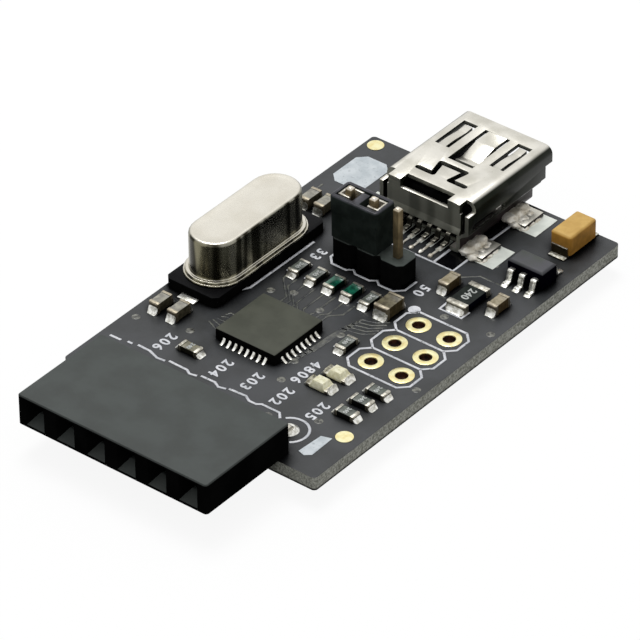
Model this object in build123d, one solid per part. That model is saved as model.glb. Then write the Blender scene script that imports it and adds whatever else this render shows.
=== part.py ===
from build123d import *
import os

# Board frame used by every function below: x across the board from its centreline, y along the
# board from its front edge towards the cable connector, z up from the board's upper face. Most
# places are shares of the board's width and length, so that the pieces spread out as it grows.

# Board
board_width = 21.0
board_length = 32.75
board_thickness = 1.0
board_corner_radius = 0.3
tail_protrusion = 1.2  # pin tails below the board, which the part stands on
past = 1.0  # how far a cut reaches beyond what it cuts

# Metal on the board: rings round the open holes, and solder round the pins of the others
ring_height = 0.04
solder_upper_height = 0.24
solder_lower_height = 0.9
solder_tip_share = 0.58  # radius of a joint's narrow end as a share of its land's
seat_gap = 0.02  # gap between a seated part and the board or its neighbour

# Programming holes, two across and three along
icsp_pitch = 2.54
icsp_x = 0.26381 * board_width
icsp_y = 0.36763 * board_length
icsp_hole_radius = 0.5
icsp_ring_radius = 0.86

# Centrelines of the two connectors, a little left of the board's
socket_x = -0.36
connector_x = -0.25

# Six-way right-angle socket
socket_pitch = 2.54
socket_ways = 6
socket_width = 15.7
socket_depth = 8.35
socket_height = 2.3
socket_overhang = 7.1  # how far it stands out in front of the board
socket_edge_radius = 0.25
socket_top_chamfer = 0.08
socket_tail_y = 3.0
socket_cell_width = 1.3
socket_cell_height = 1.4
socket_cell_z = 1.15
socket_mouth_width = 1.5
socket_mouth_height = 1.9
socket_throat_width = 0.8
socket_throat_height = 0.8
socket_funnel_depth = 0.9
socket_throat_length = 0.25
socket_hole_radius = 0.48
socket_land_radius = 0.7
socket_tail_slot_clearance = 0.1
socket_tail_slot_length = 1.6

# Socket contact, a stamped fork with a low tail
fork_thickness = 0.2
fork_height = 0.7
fork_gap = 0.5
fork_flare = 0.15  # how far each tip opens outwards
fork_tip_length = 0.9
fork_arm_start = 2.6  # where the arms reach their full spread
fork_length = 5.0
fork_setback = 1.3
fork_side_clearance = 0.08
fork_bend_radius = 0.4
fork_base_overlap = 0.3
fork_base_length = 1.1
tail_width = 0.6
tail_thickness = 0.3
tail_height = 0.35  # middle of the level run of the tail, above the board
tail_step_length = 0.45  # run over which the tail steps down behind the fork
tail_bend_radius = 0.17

# Voltage selector: three-pin header with a jumper on two of the pins
header_pitch = 2.0
header_ways = 3
header_x = -0.1286 * board_width  # first pin
header_y = 0.6214 * board_length
header_block = 2.0
header_block_chamfer = 0.35
header_base_height = 1.9
header_relief_width = 1.5  # channel under the base that clears the solder
header_relief_height = 0.28
header_pin_side = 0.5
header_pin_top = 5.8
header_pin_chamfer = 0.14
header_hole_radius = 0.42
header_land_radius = 0.7

# Jumper
jumper_length = 4.0
jumper_width = 2.15
jumper_top = 5.35
jumper_rim_height = 1.25
jumper_rim_step = 0.12
jumper_corner_chamfer = 0.2
jumper_top_chamfer = 0.1
jumper_cell_length = 1.4
jumper_cell_width = 1.45
jumper_lift_gap = 0.05
clip_thickness = 0.16
clip_gap = 0.05  # running gap between the clip and a pin
clip_wall_gap = 0.03  # gap between the clip's back and the moulding
clip_bottom = 2.6
clip_top = 5.25
clip_bridge_height = 1.3
clip_dimple_width = 0.3
clip_dimple_height = 0.8

# Cable connector: folded shell
shell_thickness = 0.3
shell_top = 4.0
shell_bottom = 0.06
shell_half_width = 3.75
shell_lower_half_width = 3.05
shell_shoulder_top = 1.75
shell_shoulder_bottom = 1.3
shell_length = 9.35
shell_overhang = 1.75  # mouth beyond the board's back edge
shell_corner_radius = 0.6
shell_bottom_radius = 0.35
shell_bend_radius = 0.15
shell_least_radius = 0.05
shell_shoulder_share = 0.4  # how far the shoulders move in with the wall
mouth_step_upper = 0.75
mouth_step_upper_z = 2.8
mouth_step_lower = 1.25
mouth_step_lower_z = 1.85
rear_plate_half_width = 3.1
rear_plate_bottom = 1.6
rear_plate_kick = 0.22
rear_plate_kick_rise = 0.45
rear_plate_overlap = 0.4
rear_window_half_width = 2.0
rear_window_depth = 0.85
rear_window_sill = 3.35
corner_notch_width = 0.75
corner_notch_depth = 0.8
corner_notch_height = 0.75
side_slot_start = 0.55
side_slot_end = 0.4385 * shell_length
side_slot_bottom = 1.95
side_slot_height = 0.42
slit = 0.28
spring_thickness = 0.27
spring_bend_radius = 0.5
spring_lip_share = 0.55  # depth of a spring's free end as a share of its drop
centre_spring_half_width = 0.9
centre_spring_tip = 0.4225 * shell_length
centre_spring_root = 0.877 * shell_length
centre_spring_drop = 0.42
centre_spring_level = 1.4
centre_spring_lip = 0.65
centre_spring_gap = 0.5
side_spring_inner = 1.85
side_spring_outer = 2.75
side_spring_root = 0.5295 * shell_length
side_spring_tip = 0.8663 * shell_length
side_spring_drop = 0.12
side_spring_level = 0.9
side_spring_lip = 0.75
seam_slit = 0.42
seam_y = 0.2032 * shell_length
seam_tongue_y = 0.3476 * shell_length
seam_neck = 0.72
seam_head = 1.02
seam_end = 1.95
foot_reach = 4.8
foot_length = 2.1
foot_near_y = 1.2
foot_far_y = 0.6364 * shell_length
foot_bend_radius = 0.28

# Cable connector: insulator and contacts
insulator_gap = 0.04
insulator_rear = 0.95
insulator_front = 0.3743 * shell_length
tongue_half_width = 2.1
tongue_bottom = 2.05
tongue_thickness = 0.75
tongue_end = 0.8663 * shell_length
peg_radius = 0.42
peg_spacing = 4.4
peg_y = 2.3
peg_hole_clearance = 0.06
contact_count = 5
contact_pitch = 0.8
contact_width = 0.36
contact_thickness = 0.18
contact_exit_z = 0.72
contact_tip_gap = 0.3
contact_fall = 1.0  # from the insulator's rear to the level run inside it
contact_exit_length = 0.35
contact_slope = 0.15
contact_bend_radius = 0.16
contact_foot_end = -0.1
contact_way_clearance = 0.2

# Solder pads of the cable connector
pad_height = 0.04
shell_pad_width = 2.35
shell_pad_length = 2.5
shell_pad_outer = 5.85
signal_pad_width = 0.42
signal_pad_length = 1.5
signal_pad_lead = 0.45  # pad in front of each contact's foot

# Crystal
crystal_x = -0.3928 * board_width
crystal_y = 0.4916 * board_length
crystal_length = 11.7
crystal_width = 4.4
crystal_base_height = 0.78
crystal_base_chamfer = 0.35
crystal_end_margin = 0.5  # plate beyond each end of the flange
crystal_side_overlap = 0.05  # flange beyond each side of the plate
crystal_flange_height = 0.2
crystal_rim_step = 0.22
crystal_rim_height = 0.16
crystal_ledge = 0.42  # flange round the foot of the can
crystal_can_top = 4.02
crystal_top_radius = 0.42
crystal_lead_width = 1.4
crystal_lead_height = 0.12
crystal_lead_reach = 0.55
crystal_lead_length = 4.0
crystal_front_gap = 2.0  # from the plate to the middle of the chips in front of it
crystal_back_gap = 1.8

# Interface chip, a flat square package with leads under its edges
chip_x = -0.0738 * board_width
chip_y = 0.3139 * board_length
chip_side = 5.0
chip_height = 0.87
chip_edge_chamfer = 0.06
chip_leads_per_side = 8
chip_lead_pitch = 0.5
chip_lead_width = 0.26
chip_lead_height = 0.36
chip_lead_reach = 0.42

# Regulator
regulator_x = 0.3929 * board_width
regulator_y = 0.7915 * board_length
regulator_length = 2.9
regulator_width = 1.6
regulator_height = 1.45
regulator_standoff = 0.08
regulator_chamfer = 0.16
regulator_lead_pitch = 0.95
regulator_lead_width = 0.42
regulator_lead_thickness = 0.16
regulator_lead_height = 0.85
regulator_lead_reach = 1.75
regulator_lead_level = 0.32
regulator_lead_slope = 0.18
regulator_lead_bend = 0.1

# Tantalum capacitor
tantalum_x = 0.3857 * board_width
tantalum_y = board_length - 2.0
tantalum_width = 1.7
tantalum_length = 3.0
tantalum_height = 1.7
tantalum_standoff = 0.1
tantalum_chamfer = 0.14
tantalum_tab_width = 1.3
tantalum_tab_height = 0.8
tantalum_tab_thickness = 0.12
tantalum_tab_reach = 0.5

# Two-terminal chips: length, width, height
capacitor_size = (1.6, 0.8, 0.8)
large_capacitor_size = (1.9, 1.2, 0.95)
resistor_size = (1.6, 0.8, 0.45)
varistor_size = (1.6, 0.85, 0.5)
led_size = (1.75, 1.0, 0.6)
fuse_size = (2.9, 1.55, 0.6)
chip_band = 0.3  # length of each metal end
fuse_band = 0.45
led_base_share = 0.4
led_taper = 0.3
band_step = 0.03  # how far the metal end stands proud of the body
band_chamfer = 0.07
fillet_reach = 0.32  # solder beyond a chip's end
fillet_rise = 0.6  # solder height as a share of the chip's height
fillet_width = 0.94  # solder width as a share of the chip's width

# Lines that the chips are placed from
crystal_front_y = crystal_y - crystal_length / 2 - crystal_front_gap
crystal_back_y = crystal_y + crystal_length / 2 + crystal_back_gap
chip_row_y = 0.5221 * board_length

# Chips by place: x, y, and True where the chip's length runs along the board
capacitor_places = [
    (-0.4333 * board_width, crystal_front_y, True),
    (-0.3595 * board_width, crystal_front_y, True),
    (-0.4214 * board_width, crystal_back_y, True),
    (-0.3619 * board_width, crystal_back_y, True),
    (0.2167 * board_width, 0.6641 * board_length, True),
    (0.4095 * board_width, 0.6641 * board_length, True),
]
large_capacitor_place = (0.1476 * board_width, chip_row_y, True)
resistor_places = [
    (-0.2143 * board_width, chip_row_y, True),
    (-0.1429 * board_width, chip_row_y, True),
    (0.0714 * board_width, chip_row_y, True),
    (-0.2095 * board_width, 0.1725 * board_length, False),
    (0.1571 * board_width, 0.3756 * board_length, True),
    (0.381 * board_width, 0.1969 * board_length, False),
    (0.381 * board_width, 0.2443 * board_length, False),
    (0.3881 * board_width, 0.2885 * board_length, False),
]
varistor_places = [(-0.0714 * board_width, chip_row_y, True), (0.0, chip_row_y, True)]
led_places = [
    (0.2248 * board_width, 0.2412 * board_length, False),
    (0.2343 * board_width, 0.2885 * board_length, False),
]
fuse_place = (0.3095 * board_width, 0.6489 * board_length, True)

# Gold alignment discs in two corners
fiducial_radius = 0.6
fiducial_height = 0.03
fiducial_inset = 0.85
fiducial_front_x = 0.4405 * board_width
fiducial_front_y = 4.6

# Overall frame: the origin is under the middle of the whole part, at its lowest point
overall_length = socket_overhang + board_length + shell_overhang
board_front = socket_overhang - overall_length / 2
board_top = tail_protrusion + board_thickness
to_part_frame = Pos(0, board_front, board_top)

# Values worked out from the sizes above
shell_rear = board_length + shell_overhang - shell_length
crystal_flange_length = crystal_length - 2 * crystal_end_margin
crystal_flange_width = crystal_width + 2 * crystal_side_overlap
crystal_can_length = crystal_flange_length - 2 * crystal_ledge
crystal_can_width = crystal_flange_width - 2 * crystal_ledge
socket_front = -socket_overhang
socket_rear = socket_front + socket_depth
jumper_x = header_x + header_pitch / 2
jumper_bottom = header_base_height + jumper_lift_gap
overall_bottom = -board_thickness - tail_protrusion


def block(x_range, y_range, z_range):
    """A box given by its lowest and highest value on each axis."""
    sizes = [high - low for low, high in (x_range, y_range, z_range)]
    middle = [(high + low) / 2 for low, high in (x_range, y_range, z_range)]
    return Pos(*middle) * Box(*sizes)


def around(middle, size):
    """The range of the given size about a middle."""
    return (middle - size / 2, middle + size / 2)


def side_profile(x, width, points, thickness, radius):
    """A strip bent along a path in the y-z plane, and as wide as given along x."""
    strip = trace(FilletPolyline(*points, radius=radius), line_width=thickness)
    return extrude(Plane.YZ.offset(x - width / 2) * strip, amount=width, dir=(1, 0, 0))


def fuse(pieces):
    """One shape made of all the pieces."""
    whole = pieces[0]
    for piece in pieces[1:]:
        whole += piece
    return whole


def group(pieces):
    """Separate solids kept together in one file."""
    return Compound(children=[solid for piece in pieces for solid in piece.solids()])


def icsp_places():
    return [(icsp_x + icsp_pitch * i, icsp_y + icsp_pitch * j) for j in range(3) for i in range(2)]


def socket_places():
    first = socket_x - socket_pitch * (socket_ways - 1) / 2
    return [first + socket_pitch * i for i in range(socket_ways)]


def header_places():
    return [header_x + header_pitch * i for i in range(header_ways)]


def peg_places():
    return [(connector_x + side * peg_spacing / 2, shell_rear + peg_y) for side in (-1, 1)]


def board():
    """The circuit board with every drilled hole."""
    plate = block(around(0, board_width), (0, board_length), (-board_thickness, 0))
    plate = fillet(plate.edges().filter_by(Axis.Z), board_corner_radius)
    holes = [(x, y, icsp_hole_radius) for x, y in icsp_places()]
    holes += [(x, socket_tail_y, socket_hole_radius) for x in socket_places()]
    holes += [(x, header_y, header_hole_radius) for x in header_places()]
    holes += [(x, y, peg_radius + peg_hole_clearance) for x, y in peg_places()]
    for x, y, radius in holes:
        plate -= Pos(x, y, -board_thickness / 2) * Cylinder(radius, 2 * board_thickness)
    return plate


def icsp_rings():
    """A flat gold ring round each programming hole, on both faces of the board."""
    ring = extrude(Circle(icsp_ring_radius) - Circle(icsp_hole_radius), amount=ring_height)
    levels = (0, -board_thickness - ring_height)
    return group([Pos(x, y, level) * ring for x, y in icsp_places() for level in levels])


def solder_joint(x, y, hole_radius, land_radius, pin):
    """Solder that fills a hole round a pin, with a low cone on its land above and a taller one below."""
    tip_radius = solder_tip_share * land_radius
    joint = Pos(0, 0, -board_thickness / 2) * Cylinder(hole_radius, board_thickness)
    joint += Pos(0, 0, solder_upper_height / 2) * Cone(land_radius, tip_radius, solder_upper_height)
    lower = Cone(tip_radius, land_radius, solder_lower_height)
    joint += Pos(0, 0, -board_thickness - solder_lower_height / 2) * lower
    return Pos(x, y) * joint - pin


def socket_solder():
    sizes = (socket_tail_y, socket_hole_radius, socket_land_radius)
    return group([solder_joint(x, *sizes, socket_contact(x)) for x in socket_places()])


def header_solder():
    sizes = (header_y, header_hole_radius, header_land_radius)
    return group([solder_joint(x, *sizes, header_pin(x)) for x in header_places()])


def fiducials():
    """Bare gold discs in the back left and front right corners."""
    back = (-board_width / 2 + fiducial_inset, board_length - fiducial_inset)
    places = [back, (fiducial_front_x, fiducial_front_y)]
    disc = Pos(0, 0, fiducial_height / 2) * Cylinder(fiducial_radius, fiducial_height)
    return group([Pos(x, y) * disc for x, y in places])


# Socket


def socket_funnel(x):
    """The sloped lead-in of one socket way, cut from the front face."""
    mouth = Rectangle(socket_mouth_width, socket_mouth_height)
    throat = Rectangle(socket_throat_width, socket_throat_height)
    face = Plane(origin=(x, socket_front, socket_cell_z), x_dir=(1, 0, 0), z_dir=(0, -1, 0))
    return loft([face * mouth, face.offset(-socket_funnel_depth) * throat])


def socket_housing():
    """Moulded body with a lead-in, a cell and a tail slot for each way."""
    left, right = around(socket_x, socket_width)
    body = block((left, right), (socket_front, socket_rear), (0, socket_height))
    body = fillet(body.edges().filter_by(Axis.Z), socket_edge_radius)
    body = chamfer(body.faces().sort_by(Axis.Z)[-1].edges(), socket_top_chamfer)
    cell_front = socket_front + socket_funnel_depth + socket_throat_length
    throat = around(socket_cell_z, socket_throat_height)
    cell = around(socket_cell_z, socket_cell_height)
    slot = (tail_height - tail_thickness, socket_cell_z)
    slot_width = tail_width + 2 * socket_tail_slot_clearance
    for x in socket_places():
        body -= socket_funnel(x)
        body -= block(around(x, socket_throat_width), (socket_front, cell_front), throat)
        body -= block(around(x, socket_cell_width), (cell_front, socket_rear), cell)
        body -= block(around(x, slot_width), (socket_rear - socket_tail_slot_length, socket_rear), slot)
    return body


def socket_contact(x):
    """A forked spring contact whose tail steps down, leaves the back and turns into the board."""
    tip_y = socket_front + fork_setback + socket_funnel_depth
    arm_end = tip_y + fork_length - fork_base_overlap
    outer = socket_cell_width / 2 - fork_thickness / 2 - fork_side_clearance
    pinch = fork_gap / 2 + fork_thickness / 2
    pieces = []
    for side in (-1, 1):
        path = FilletPolyline(
            (x + side * (pinch + fork_flare), tip_y),
            (x + side * pinch, tip_y + fork_tip_length),
            (x + side * outer, tip_y + fork_arm_start),
            (x + side * outer, arm_end),
            radius=fork_bend_radius,
        )
        blade = trace(path, line_width=fork_thickness)
        pieces.append(Pos(0, 0, socket_cell_z - fork_height / 2) * extrude(blade, amount=fork_height))
    foot = (socket_cell_z - fork_height / 2, socket_cell_z - fork_height / 2 + tail_thickness)
    foot_y = (arm_end - fork_base_length, arm_end)
    pieces.append(block(around(x, 2 * outer + fork_thickness), foot_y, foot))
    tail = [
        (arm_end - fork_base_length, foot[0] + tail_thickness / 2),
        (arm_end + tail_thickness, foot[0] + tail_thickness / 2),
        (arm_end + tail_thickness + tail_step_length, tail_height),
        (socket_tail_y, tail_height),
        (socket_tail_y, overall_bottom),
    ]
    pieces.append(side_profile(x, tail_width, tail, tail_thickness, tail_bend_radius))
    return fuse(pieces)


# Voltage selector


def header_base():
    """Three linked octagonal blocks with a square hole for each pin."""
    half = header_block / 2
    blocks = []
    octagon = chamfer(Rectangle(header_block, header_block).vertices(), header_block_chamfer)
    for x in header_places():
        blocks.append(Pos(x, header_y, seat_gap) * extrude(octagon, amount=header_base_height - seat_gap))
    span = (header_x - half, header_places()[-1] + half)
    body = fuse(blocks) - block(span, around(header_y, header_relief_width), (0, header_relief_height))
    hole = around(header_y, header_pin_side)
    for x in header_places():
        body -= block(around(x, header_pin_side), hole, (-past, header_base_height + past))
    return body


def header_pin(x):
    """A square pin with chamfered ends, from under the board to the top of the header."""
    pin = block(
        around(x, header_pin_side), around(header_y, header_pin_side), (overall_bottom, header_pin_top)
    )
    ends = [pin.faces().sort_by(Axis.Z)[0], pin.faces().sort_by(Axis.Z)[-1]]
    return chamfer([edge for end in ends for edge in end.edges()], header_pin_chamfer)


def jumper_housing():
    """Moulded cap with a gripping rim and an open cell over each of its two pins."""
    rim_bottom = jumper_top - jumper_rim_height
    body = block(
        around(jumper_x, jumper_length - 2 * jumper_rim_step),
        around(header_y, jumper_width - 2 * jumper_rim_step),
        (jumper_bottom, rim_bottom),
    )
    rim = block(around(jumper_x, jumper_length), around(header_y, jumper_width), (rim_bottom, jumper_top))
    rim = chamfer(rim.edges().filter_by(Axis.Z), jumper_corner_chamfer)
    rim = chamfer(rim.faces().sort_by(Axis.Z)[-1].edges(), jumper_top_chamfer)
    body += rim
    cell_back = header_y + jumper_cell_width / 2
    for x in header_places()[:2]:
        cell = around(header_y, jumper_cell_width)
        body -= block(around(x, jumper_cell_length), cell, (jumper_bottom, jumper_top))
    bridge = (cell_back - clip_thickness - 2 * clip_wall_gap, cell_back)
    bridge_bottom = clip_bottom - clip_wall_gap
    body -= block((header_x, header_x + header_pitch), bridge, (bridge_bottom, jumper_top))
    return body


def jumper_clip():
    """One folded strip: a back plate across both pins and a sprung leaf in front of each."""
    back_y = header_y + jumper_cell_width / 2 - clip_wall_gap
    inner = header_pin_side / 2 + clip_gap
    reach = jumper_cell_length / 2 - clip_wall_gap
    back = (back_y - clip_thickness, back_y)
    height = (clip_bottom, clip_top)
    pins = header_places()[:2]
    plate = block((pins[0] - reach, pins[1] + reach), back, height)
    between = (pins[0] + reach, pins[1] - reach)
    plate -= block(between, back, (clip_bottom + clip_bridge_height, clip_top))
    pieces = [plate]
    for x, side in zip(pins, (-1, 1)):
        front = (header_y - inner - clip_thickness, header_y - inner)
        web = sorted((x + side * reach, x + side * (reach - clip_thickness)))
        leaf = sorted((x - side * header_pin_side / 2, x + side * reach))
        dimple_height = around((clip_bottom + clip_top) / 2, clip_dimple_height)
        pieces.append(block(web, (front[0], back[1]), height))
        pieces.append(block(leaf, front, height))
        pieces.append(block(around(x, clip_dimple_width), (header_y + inner, back[0]), dimple_height))
    return fuse(pieces)


# Cable connector


def outline_sketch(inset):
    """The shell's outline, drawn in by an inset, as a sketch in x and z."""
    points = [
        (-shell_half_width + inset, shell_top - inset),
        (-shell_half_width + inset, shell_shoulder_top + inset * shell_shoulder_share),
        (-shell_lower_half_width + inset, shell_shoulder_bottom + inset * shell_shoulder_share),
        (-shell_lower_half_width + inset, shell_bottom + inset),
    ]
    points += [(-x, z) for x, z in reversed(points)]
    face = make_face(Polyline(*points, close=True))
    face = fillet(face.vertices().sort_by(Axis.Y)[-2:], shell_corner_radius - inset)
    low_radius = max(shell_bottom_radius - inset, shell_least_radius)
    face = fillet(face.vertices().sort_by(Axis.Y)[:2], low_radius)
    return fillet(face.vertices().sort_by(Axis.Y)[4:8], shell_bend_radius)


def shell_tube(inset, rear, front):
    """The outline drawn along the connector from rear to front, both measured from the shell's rear."""
    plane = Plane(
        origin=(connector_x, shell_rear + front, 0), x_dir=(1, 0, 0), z_dir=(0, -1, 0)
    )
    return extrude(plane * outline_sketch(inset), amount=front - rear)


def shell_seam():
    """The dovetail joint in the top, cut as a narrow slit."""
    path = Polyline(
        (connector_x - seam_end, shell_rear + seam_y),
        (connector_x - seam_neck, shell_rear + seam_y),
        (connector_x - seam_head, shell_rear + seam_tongue_y),
        (connector_x + seam_head, shell_rear + seam_tongue_y),
        (connector_x + seam_neck, shell_rear + seam_y),
        (connector_x + seam_end, shell_rear + seam_y),
    )
    cut = fuse([trace(edge, line_width=seam_slit) for edge in path.edges()])
    cut += [Pos(v.X, v.Y) * Circle(seam_slit / 2) for v in path.vertices()]
    return Pos(0, 0, shell_top - 2 * shell_thickness) * extrude(cut, amount=3 * shell_thickness)


def centre_spring():
    """The middle spring: rooted near the mouth, bent down and up again at its free end."""
    middle_z = shell_top - shell_thickness / 2
    tip_y = shell_rear + centre_spring_tip + centre_spring_gap
    points = [
        (shell_rear + centre_spring_root + slit, middle_z),
        (shell_rear + centre_spring_root - centre_spring_level, middle_z),
        (tip_y + centre_spring_lip, middle_z - centre_spring_drop),
        (tip_y, middle_z - centre_spring_drop * spring_lip_share),
    ]
    width = 2 * centre_spring_half_width - slit
    return side_profile(connector_x, width, points, spring_thickness, spring_bend_radius)


def side_spring(side):
    """One of the outer springs: rooted at the rear, its free end bent down."""
    middle_z = shell_top - shell_thickness / 2
    tip_y = shell_rear + side_spring_tip - slit / 2
    points = [
        (shell_rear + side_spring_root - slit, middle_z),
        (shell_rear + side_spring_root + side_spring_level, middle_z),
        (tip_y - side_spring_lip, middle_z - side_spring_drop),
        (tip_y, middle_z - side_spring_drop * spring_lip_share),
    ]
    middle = connector_x + side * (side_spring_inner + side_spring_outer) / 2
    width = side_spring_outer - side_spring_inner - slit
    return side_profile(middle, width, points, spring_thickness, spring_bend_radius)


def shell_foot(side, middle_y):
    """A soldering foot, folded outwards from the lower wall."""
    wall = shell_lower_half_width - shell_thickness
    lift = pad_height + seat_gap / 4
    low, high = sorted((connector_x + side * wall, connector_x + side * foot_reach))
    flat = block((low, high), around(shell_rear + middle_y, foot_length), (lift, lift + shell_thickness))
    bend_x = connector_x + side * (shell_lower_half_width + foot_bend_radius)
    bend_z = lift + shell_thickness + foot_bend_radius
    rise = sorted((connector_x + side * wall, bend_x))
    web = block(rise, around(shell_rear + middle_y, foot_length), (lift, bend_z))
    scoop = Pos(bend_x, shell_rear + middle_y, bend_z)
    web -= scoop * Rot(90, 0, 0) * Cylinder(foot_bend_radius, 2 * foot_length)
    return flat + web


def shell_rear_plate():
    """The rear wall, bent down from the top and kicked outwards along its lower edge."""
    half = shell_thickness / 2
    points = [
        (shell_rear + rear_window_depth + rear_plate_overlap, shell_top - half),
        (shell_rear + half, shell_top - half),
        (shell_rear + half, rear_plate_bottom + rear_plate_kick_rise),
        (shell_rear + half - rear_plate_kick, rear_plate_bottom),
    ]
    return side_profile(connector_x, 2 * rear_plate_half_width, points, shell_thickness, shell_thickness)


def usb_shell():
    """The folded metal shell with its windows, springs, dovetail and feet."""
    tube = shell_tube(0, 0, shell_length) - shell_tube(shell_thickness, -past, shell_length + past)
    mouth = shell_rear + shell_length
    wide = around(connector_x, 4 * shell_half_width)
    tube -= block(wide, (mouth - mouth_step_upper, mouth + past), (-past, mouth_step_upper_z))
    tube -= block(wide, (mouth - mouth_step_lower, mouth + past), (-past, mouth_step_lower_z))
    contact_way = around(connector_x, contact_pitch * contact_count + 2 * contact_way_clearance)
    way_y = (shell_rear - past, shell_rear + insulator_rear)
    tube -= block(contact_way, way_y, (-past, shell_shoulder_bottom))
    tube += shell_rear_plate()
    window = around(connector_x, 2 * rear_window_half_width)
    above = shell_top + past
    tube -= block(window, (shell_rear - past, shell_rear + rear_window_depth), (rear_window_sill, above))
    for side in (-1, 1):
        edge = connector_x + side * shell_half_width
        notch = sorted((edge + side * past, edge - side * corner_notch_width))
        notch_y = (shell_rear - past, shell_rear + corner_notch_depth)
        tube -= block(notch, notch_y, (shell_top - corner_notch_height, above))
    slot = SlotOverall(side_slot_end - side_slot_start, side_slot_height)
    slot_middle = (side_slot_start + side_slot_end) / 2
    slot_centre = (wide[0], shell_rear + slot_middle, side_slot_bottom + side_slot_height / 2)
    slot_plane = Plane(origin=slot_centre, x_dir=(0, 1, 0), z_dir=(1, 0, 0))
    tube -= extrude(slot_plane * slot, amount=4 * shell_half_width)
    through = (shell_top - 2 * shell_thickness, above)
    tube -= block(
        around(connector_x, 2 * centre_spring_half_width + slit),
        (shell_rear + centre_spring_tip, shell_rear + centre_spring_root),
        through,
    )
    for side in (-1, 1):
        middle = connector_x + side * (side_spring_inner + side_spring_outer) / 2
        tube -= block(
            around(middle, side_spring_outer - side_spring_inner + slit),
            (shell_rear + side_spring_root, shell_rear + side_spring_tip + slit / 2),
            through,
        )
    tube -= shell_seam()
    tube += centre_spring()
    for side in (-1, 1):
        tube += side_spring(side)
        for middle_y in (foot_near_y, foot_far_y):
            tube += shell_foot(side, middle_y)
    for x, y in peg_places():
        tube -= Pos(x, y, 0) * Cylinder(peg_radius + peg_hole_clearance, 4 * shell_thickness)
    return tube


def contact_places():
    first = connector_x - contact_pitch * (contact_count - 1) / 2
    return [first + contact_pitch * i for i in range(contact_count)]


def usb_contact(x):
    """One contact: along the tongue, down inside the insulator, out at the rear and onto its pad."""
    half = contact_thickness / 2
    rear = shell_rear + insulator_rear
    bend_y = rear - contact_exit_length
    points = [
        (shell_rear + tongue_end - contact_tip_gap, tongue_bottom - half),
        (rear + contact_fall, tongue_bottom - half),
        (rear + contact_fall, contact_exit_z),
        (bend_y, contact_exit_z),
        (bend_y - contact_slope, pad_height + half),
        (shell_rear + contact_foot_end, pad_height + half),
    ]
    return side_profile(x, contact_width, points, contact_thickness, contact_bend_radius)


def usb_contacts():
    return group([usb_contact(x) for x in contact_places()])


def usb_insulator():
    """The moulded block that fills the shell's rear, with the tongue and two locating pegs."""
    body = shell_tube(shell_thickness + insulator_gap, insulator_rear, insulator_front)
    ceiling = shell_top - shell_thickness - centre_spring_drop
    width = around(connector_x, 2 * shell_half_width)
    body -= block(width, (shell_rear, shell_rear + shell_length), (ceiling, shell_top))
    tongue_x = around(connector_x, 2 * tongue_half_width)
    tongue_y = (shell_rear + insulator_rear, shell_rear + tongue_end)
    body += block(tongue_x, tongue_y, (tongue_bottom, tongue_bottom + tongue_thickness))
    peg_top = shell_shoulder_bottom
    peg_length = peg_top + board_thickness
    for x, y in peg_places():
        body += Pos(x, y, peg_top - peg_length / 2) * Cylinder(peg_radius, peg_length)
    for x in contact_places():
        body -= usb_contact(x)
    return body


def shell_pads():
    """Solder lands: four under the shell's feet and one under each contact."""
    pads = []
    for middle_y in (foot_near_y, foot_far_y):
        for side in (-1, 1):
            edge = connector_x + side * shell_pad_outer
            span = sorted((edge, edge - side * shell_pad_width))
            pads.append(block(span, around(shell_rear + middle_y, shell_pad_length), (0, pad_height)))
    pad_front = shell_rear + contact_foot_end - signal_pad_lead
    pad_y = (pad_front, pad_front + signal_pad_length)
    for x in contact_places():
        pads.append(block(around(x, signal_pad_width), pad_y, (0, pad_height)))
    return group(pads)


# Crystal


def slot_prism(length, width, bottom, height):
    """A prism with round ends, its length along the board, centred on the crystal."""
    outline = Pos(crystal_x, crystal_y) * Rot(0, 0, 90) * SlotOverall(length, width)
    return Pos(0, 0, bottom) * extrude(outline, amount=height)


def crystal_can():
    """The sealed can: a stepped flange and a round-ended cover with a soft top edge."""
    rim_bottom = crystal_base_height + crystal_flange_height
    flange_size = (crystal_flange_length, crystal_flange_width)
    flange = slot_prism(*flange_size, crystal_base_height, crystal_flange_height)
    rim_size = [size - 2 * crystal_rim_step for size in flange_size]
    rim = slot_prism(*rim_size, rim_bottom, crystal_rim_height)
    cover = slot_prism(crystal_can_length, crystal_can_width, rim_bottom, crystal_can_top - rim_bottom)
    cover = fillet(cover.faces().sort_by(Axis.Z)[-1].edges(), crystal_top_radius)
    return flange + rim + cover


def crystal_base():
    """The black plate under the can, with cut corners and a groove for each lead."""
    outline = chamfer(Rectangle(crystal_width, crystal_length).vertices(), crystal_base_chamfer)
    body = extrude(Pos(crystal_x, crystal_y, seat_gap) * outline, amount=crystal_base_height - seat_gap)
    for lead in crystal_lead_blocks():
        body -= lead
    return body


def crystal_lead_blocks():
    """The two flat leads that run out under the ends of the base."""
    leads = []
    for side in (-1, 1):
        outer = crystal_y + side * (crystal_length / 2 + crystal_lead_reach)
        span = sorted((outer - side * crystal_lead_length, outer))
        leads.append(block(around(crystal_x, crystal_lead_width), span, (0, crystal_lead_height)))
    return leads


def crystal_leads():
    return group(crystal_lead_blocks())


# Packaged chips


def bridge_chip_body():
    """The square moulded package, its top edge slightly softened."""
    body = block(around(chip_x, chip_side), around(chip_y, chip_side), (seat_gap, chip_height))
    return chamfer(body.faces().sort_by(Axis.Z)[-1].edges(), chip_edge_chamfer)


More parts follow.
